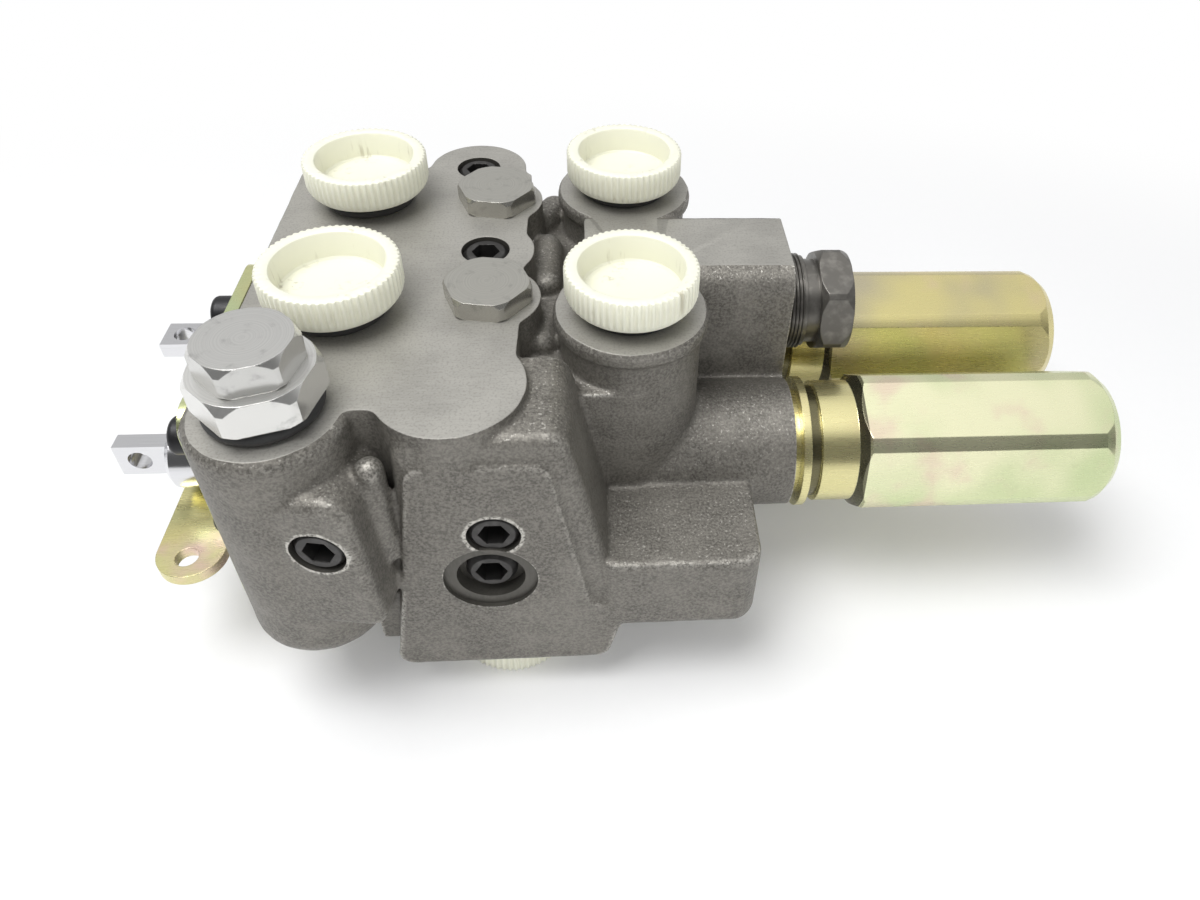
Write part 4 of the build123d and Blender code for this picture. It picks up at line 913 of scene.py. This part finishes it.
class VALVE_OT_studio(bpy.types.Operator):
    """Sets up the floor, the light and the camera"""

    bl_idname = "valve.studio"
    bl_label = "Studio"

    def execute(self, context):
        looks = context.scene.valve_studio
        self.lay_floor(looks)
        self.light(context, looks)
        self.aim(context, looks)
        context.scene.view_settings.view_transform = "Standard"
        return {"FINISHED"}

    def lay_floor(self, looks):
        """Pale floor under the lowest cap."""
        half = looks.floor_size / 2
        mesh = bpy.data.meshes.new("floor")
        corners = [(-half, -half, 0), (half, -half, 0), (half, half, 0), (-half, half, 0)]
        mesh.from_pydata(corners, [], [(0, 1, 2, 3)])
        floor = bpy.data.objects.new("floor", mesh)
        floor.location.z = CAD_BOX[0][2]
        bpy.context.collection.objects.link(floor)
        mesh.materials.append(self.floor_finish(looks))

    def floor_finish(self, looks):
        """White paper that fades to the plain background and keeps the object's shadow close by."""
        recipe = Recipe("floor_paper")
        tooth = recipe.noise(0.004, detail=2.0)
        recipe.finish(base_color=recipe.mix(tooth, looks.floor, scaled(looks.floor, 0.985)), roughness=0.9)
        centre = [(low + high) / 2 for low, high in zip(*CAD_BOX)]
        away = recipe.distance(centre[:2], (0.62, 1.0, 0.0))
        fade = recipe.step(away, looks.fade_start, looks.fade_end) * 0.92 + 0.08
        white = recipe.node("ShaderNodeEmission", inputs={"Color": WHITE, "Strength": 1.0})
        paper = Flow(recipe, recipe.surface.outputs[0])
        shown = fade * recipe.rays("Camera", "Glossy", "Transmission")
        blend = recipe.node("ShaderNodeMixShader", inputs={0: shown, 1: paper, 2: white})
        recipe.feed(recipe.tree.nodes["Material Output"].inputs["Surface"], blend)
        return recipe.owner

    def light(self, context, looks):
        """Soft lamps and a pale world that shows white."""
        lamps = (("key_lamp", looks.key_power, KEY_LAMP), ("fill_lamp", looks.fill_power, FILL_LAMP))
        for name, power, (size, place) in lamps:
            lamp = bpy.data.lights.new(name, "AREA")
            lamp.energy = power
            lamp.size = size
            holder = bpy.data.objects.new(name, lamp)
            holder.location = place
            holder.visible_glossy = name == "key_lamp"
            ahead = Vector(LAMP_TARGET) - Vector(place)
            holder.rotation_euler = ahead.to_track_quat("-Z", "Y").to_euler()
            bpy.context.collection.objects.link(holder)
        world = bpy.data.worlds.new("studio_world")
        context.scene.world = world
        recipe = Recipe("studio_world", world)
        soft = recipe.node("ShaderNodeBackground", inputs={"Color": SKY_COLOUR, "Strength": looks.sky})
        mirrored = recipe.rays("Glossy", "Transmission")
        strength = 1 - mirrored * self.gloom(recipe)
        white = recipe.node("ShaderNodeBackground", inputs={"Color": WHITE, "Strength": strength})
        seen = recipe.rays("Camera", "Glossy", "Transmission")
        blend = recipe.node("ShaderNodeMixShader", inputs={0: seen, 1: soft, 2: white})
        recipe.feed(recipe.tree.nodes["World Output"].inputs["Surface"], blend)

    def gloom(self, recipe):
        """How much darker than white the mirrored room is: a little behind, most in front, not overhead."""
        way = recipe.node("ShaderNodeTexCoord", output="Generated")
        overhead = recipe.step(recipe.part_of(way, "Z"), 0.66, 0.88)
        front = recipe.step(0 - recipe.part_of(way, "Y"), -0.1, 0.4)
        return (1 - overhead) * (0.35 + front * 0.55)

    def aim(self, context, looks):
        """Camera at the photograph's place, from its pitch, yaw and roll."""
        level = cos(looks.pitch)
        ahead = Vector((sin(looks.yaw) * level, cos(looks.yaw) * level, -sin(looks.pitch)))
        right = Vector((cos(looks.yaw), -sin(looks.yaw), 0.0))
        down = ahead.cross(right)
        across = right * cos(looks.roll) + down * sin(looks.roll)
        upright = right * sin(looks.roll) - down * cos(looks.roll)
        lens = bpy.data.cameras.new("photo_camera")
        lens.sensor_width = SENSOR_WIDTH
        lens.lens = looks.lens
        lens.shift_x, lens.shift_y = (shift / PHOTO_WIDTH for shift in CENTRE_SHIFT)
        lens.clip_start = 0.01
        camera = bpy.data.objects.new("photo_camera", lens)
        turn = Matrix((across, upright, -ahead)).transposed().to_4x4()
        camera.matrix_world = Matrix.Translation(looks.eye) @ turn
        bpy.context.collection.objects.link(camera)
        context.scene.camera = camera


class VALVE_PT_panel(bpy.types.Panel):
    """Lists the valve's operators and sizes"""

    bl_label = "Control valve"
    bl_idname = "VALVE_PT_panel"
    bl_space_type = "VIEW_3D"
    bl_region_type = "UI"
    bl_category = "Valve"

    def draw(self, context):
        for operator, (group, _) in zip(OPERATORS, PROPERTIES):
            self.layout.operator(operator.bl_idname)
            settings = getattr(context.scene, group)
            for prop in settings.bl_rna.properties:
                if prop.identifier not in ("rna_type", "name"):
                    self.layout.prop(settings, prop.identifier)


OPERATORS = (VALVE_OT_casting, VALVE_OT_fittings, VALVE_OT_plated, VALVE_OT_port_caps, VALVE_OT_studio)
PROPERTIES = (
    ("valve_casting", CastingLooks),
    ("valve_fittings", FittingLooks),
    ("valve_zinc", ZincLooks),
    ("valve_caps", CapLooks),
    ("valve_studio", StudioLooks),
)


def register():
    for _, group in PROPERTIES:
        bpy.utils.register_class(group)
    for name, group in PROPERTIES:
        setattr(bpy.types.Scene, name, PointerProperty(type=group))
    for operator in OPERATORS:
        bpy.utils.register_class(operator)
    bpy.utils.register_class(VALVE_PT_panel)


def unregister():
    bpy.utils.unregister_class(VALVE_PT_panel)
    for operator in reversed(OPERATORS):
        bpy.utils.unregister_class(operator)
    for name, group in reversed(PROPERTIES):
        delattr(bpy.types.Scene, name)
        bpy.utils.unregister_class(group)


def main():
    """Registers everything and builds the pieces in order."""
    register()
    bpy.ops.valve.casting()
    bpy.ops.valve.fittings()
    bpy.ops.valve.plated()
    bpy.ops.valve.port_caps()
    bpy.ops.valve.studio()


if __name__ == "__main__":
    main()
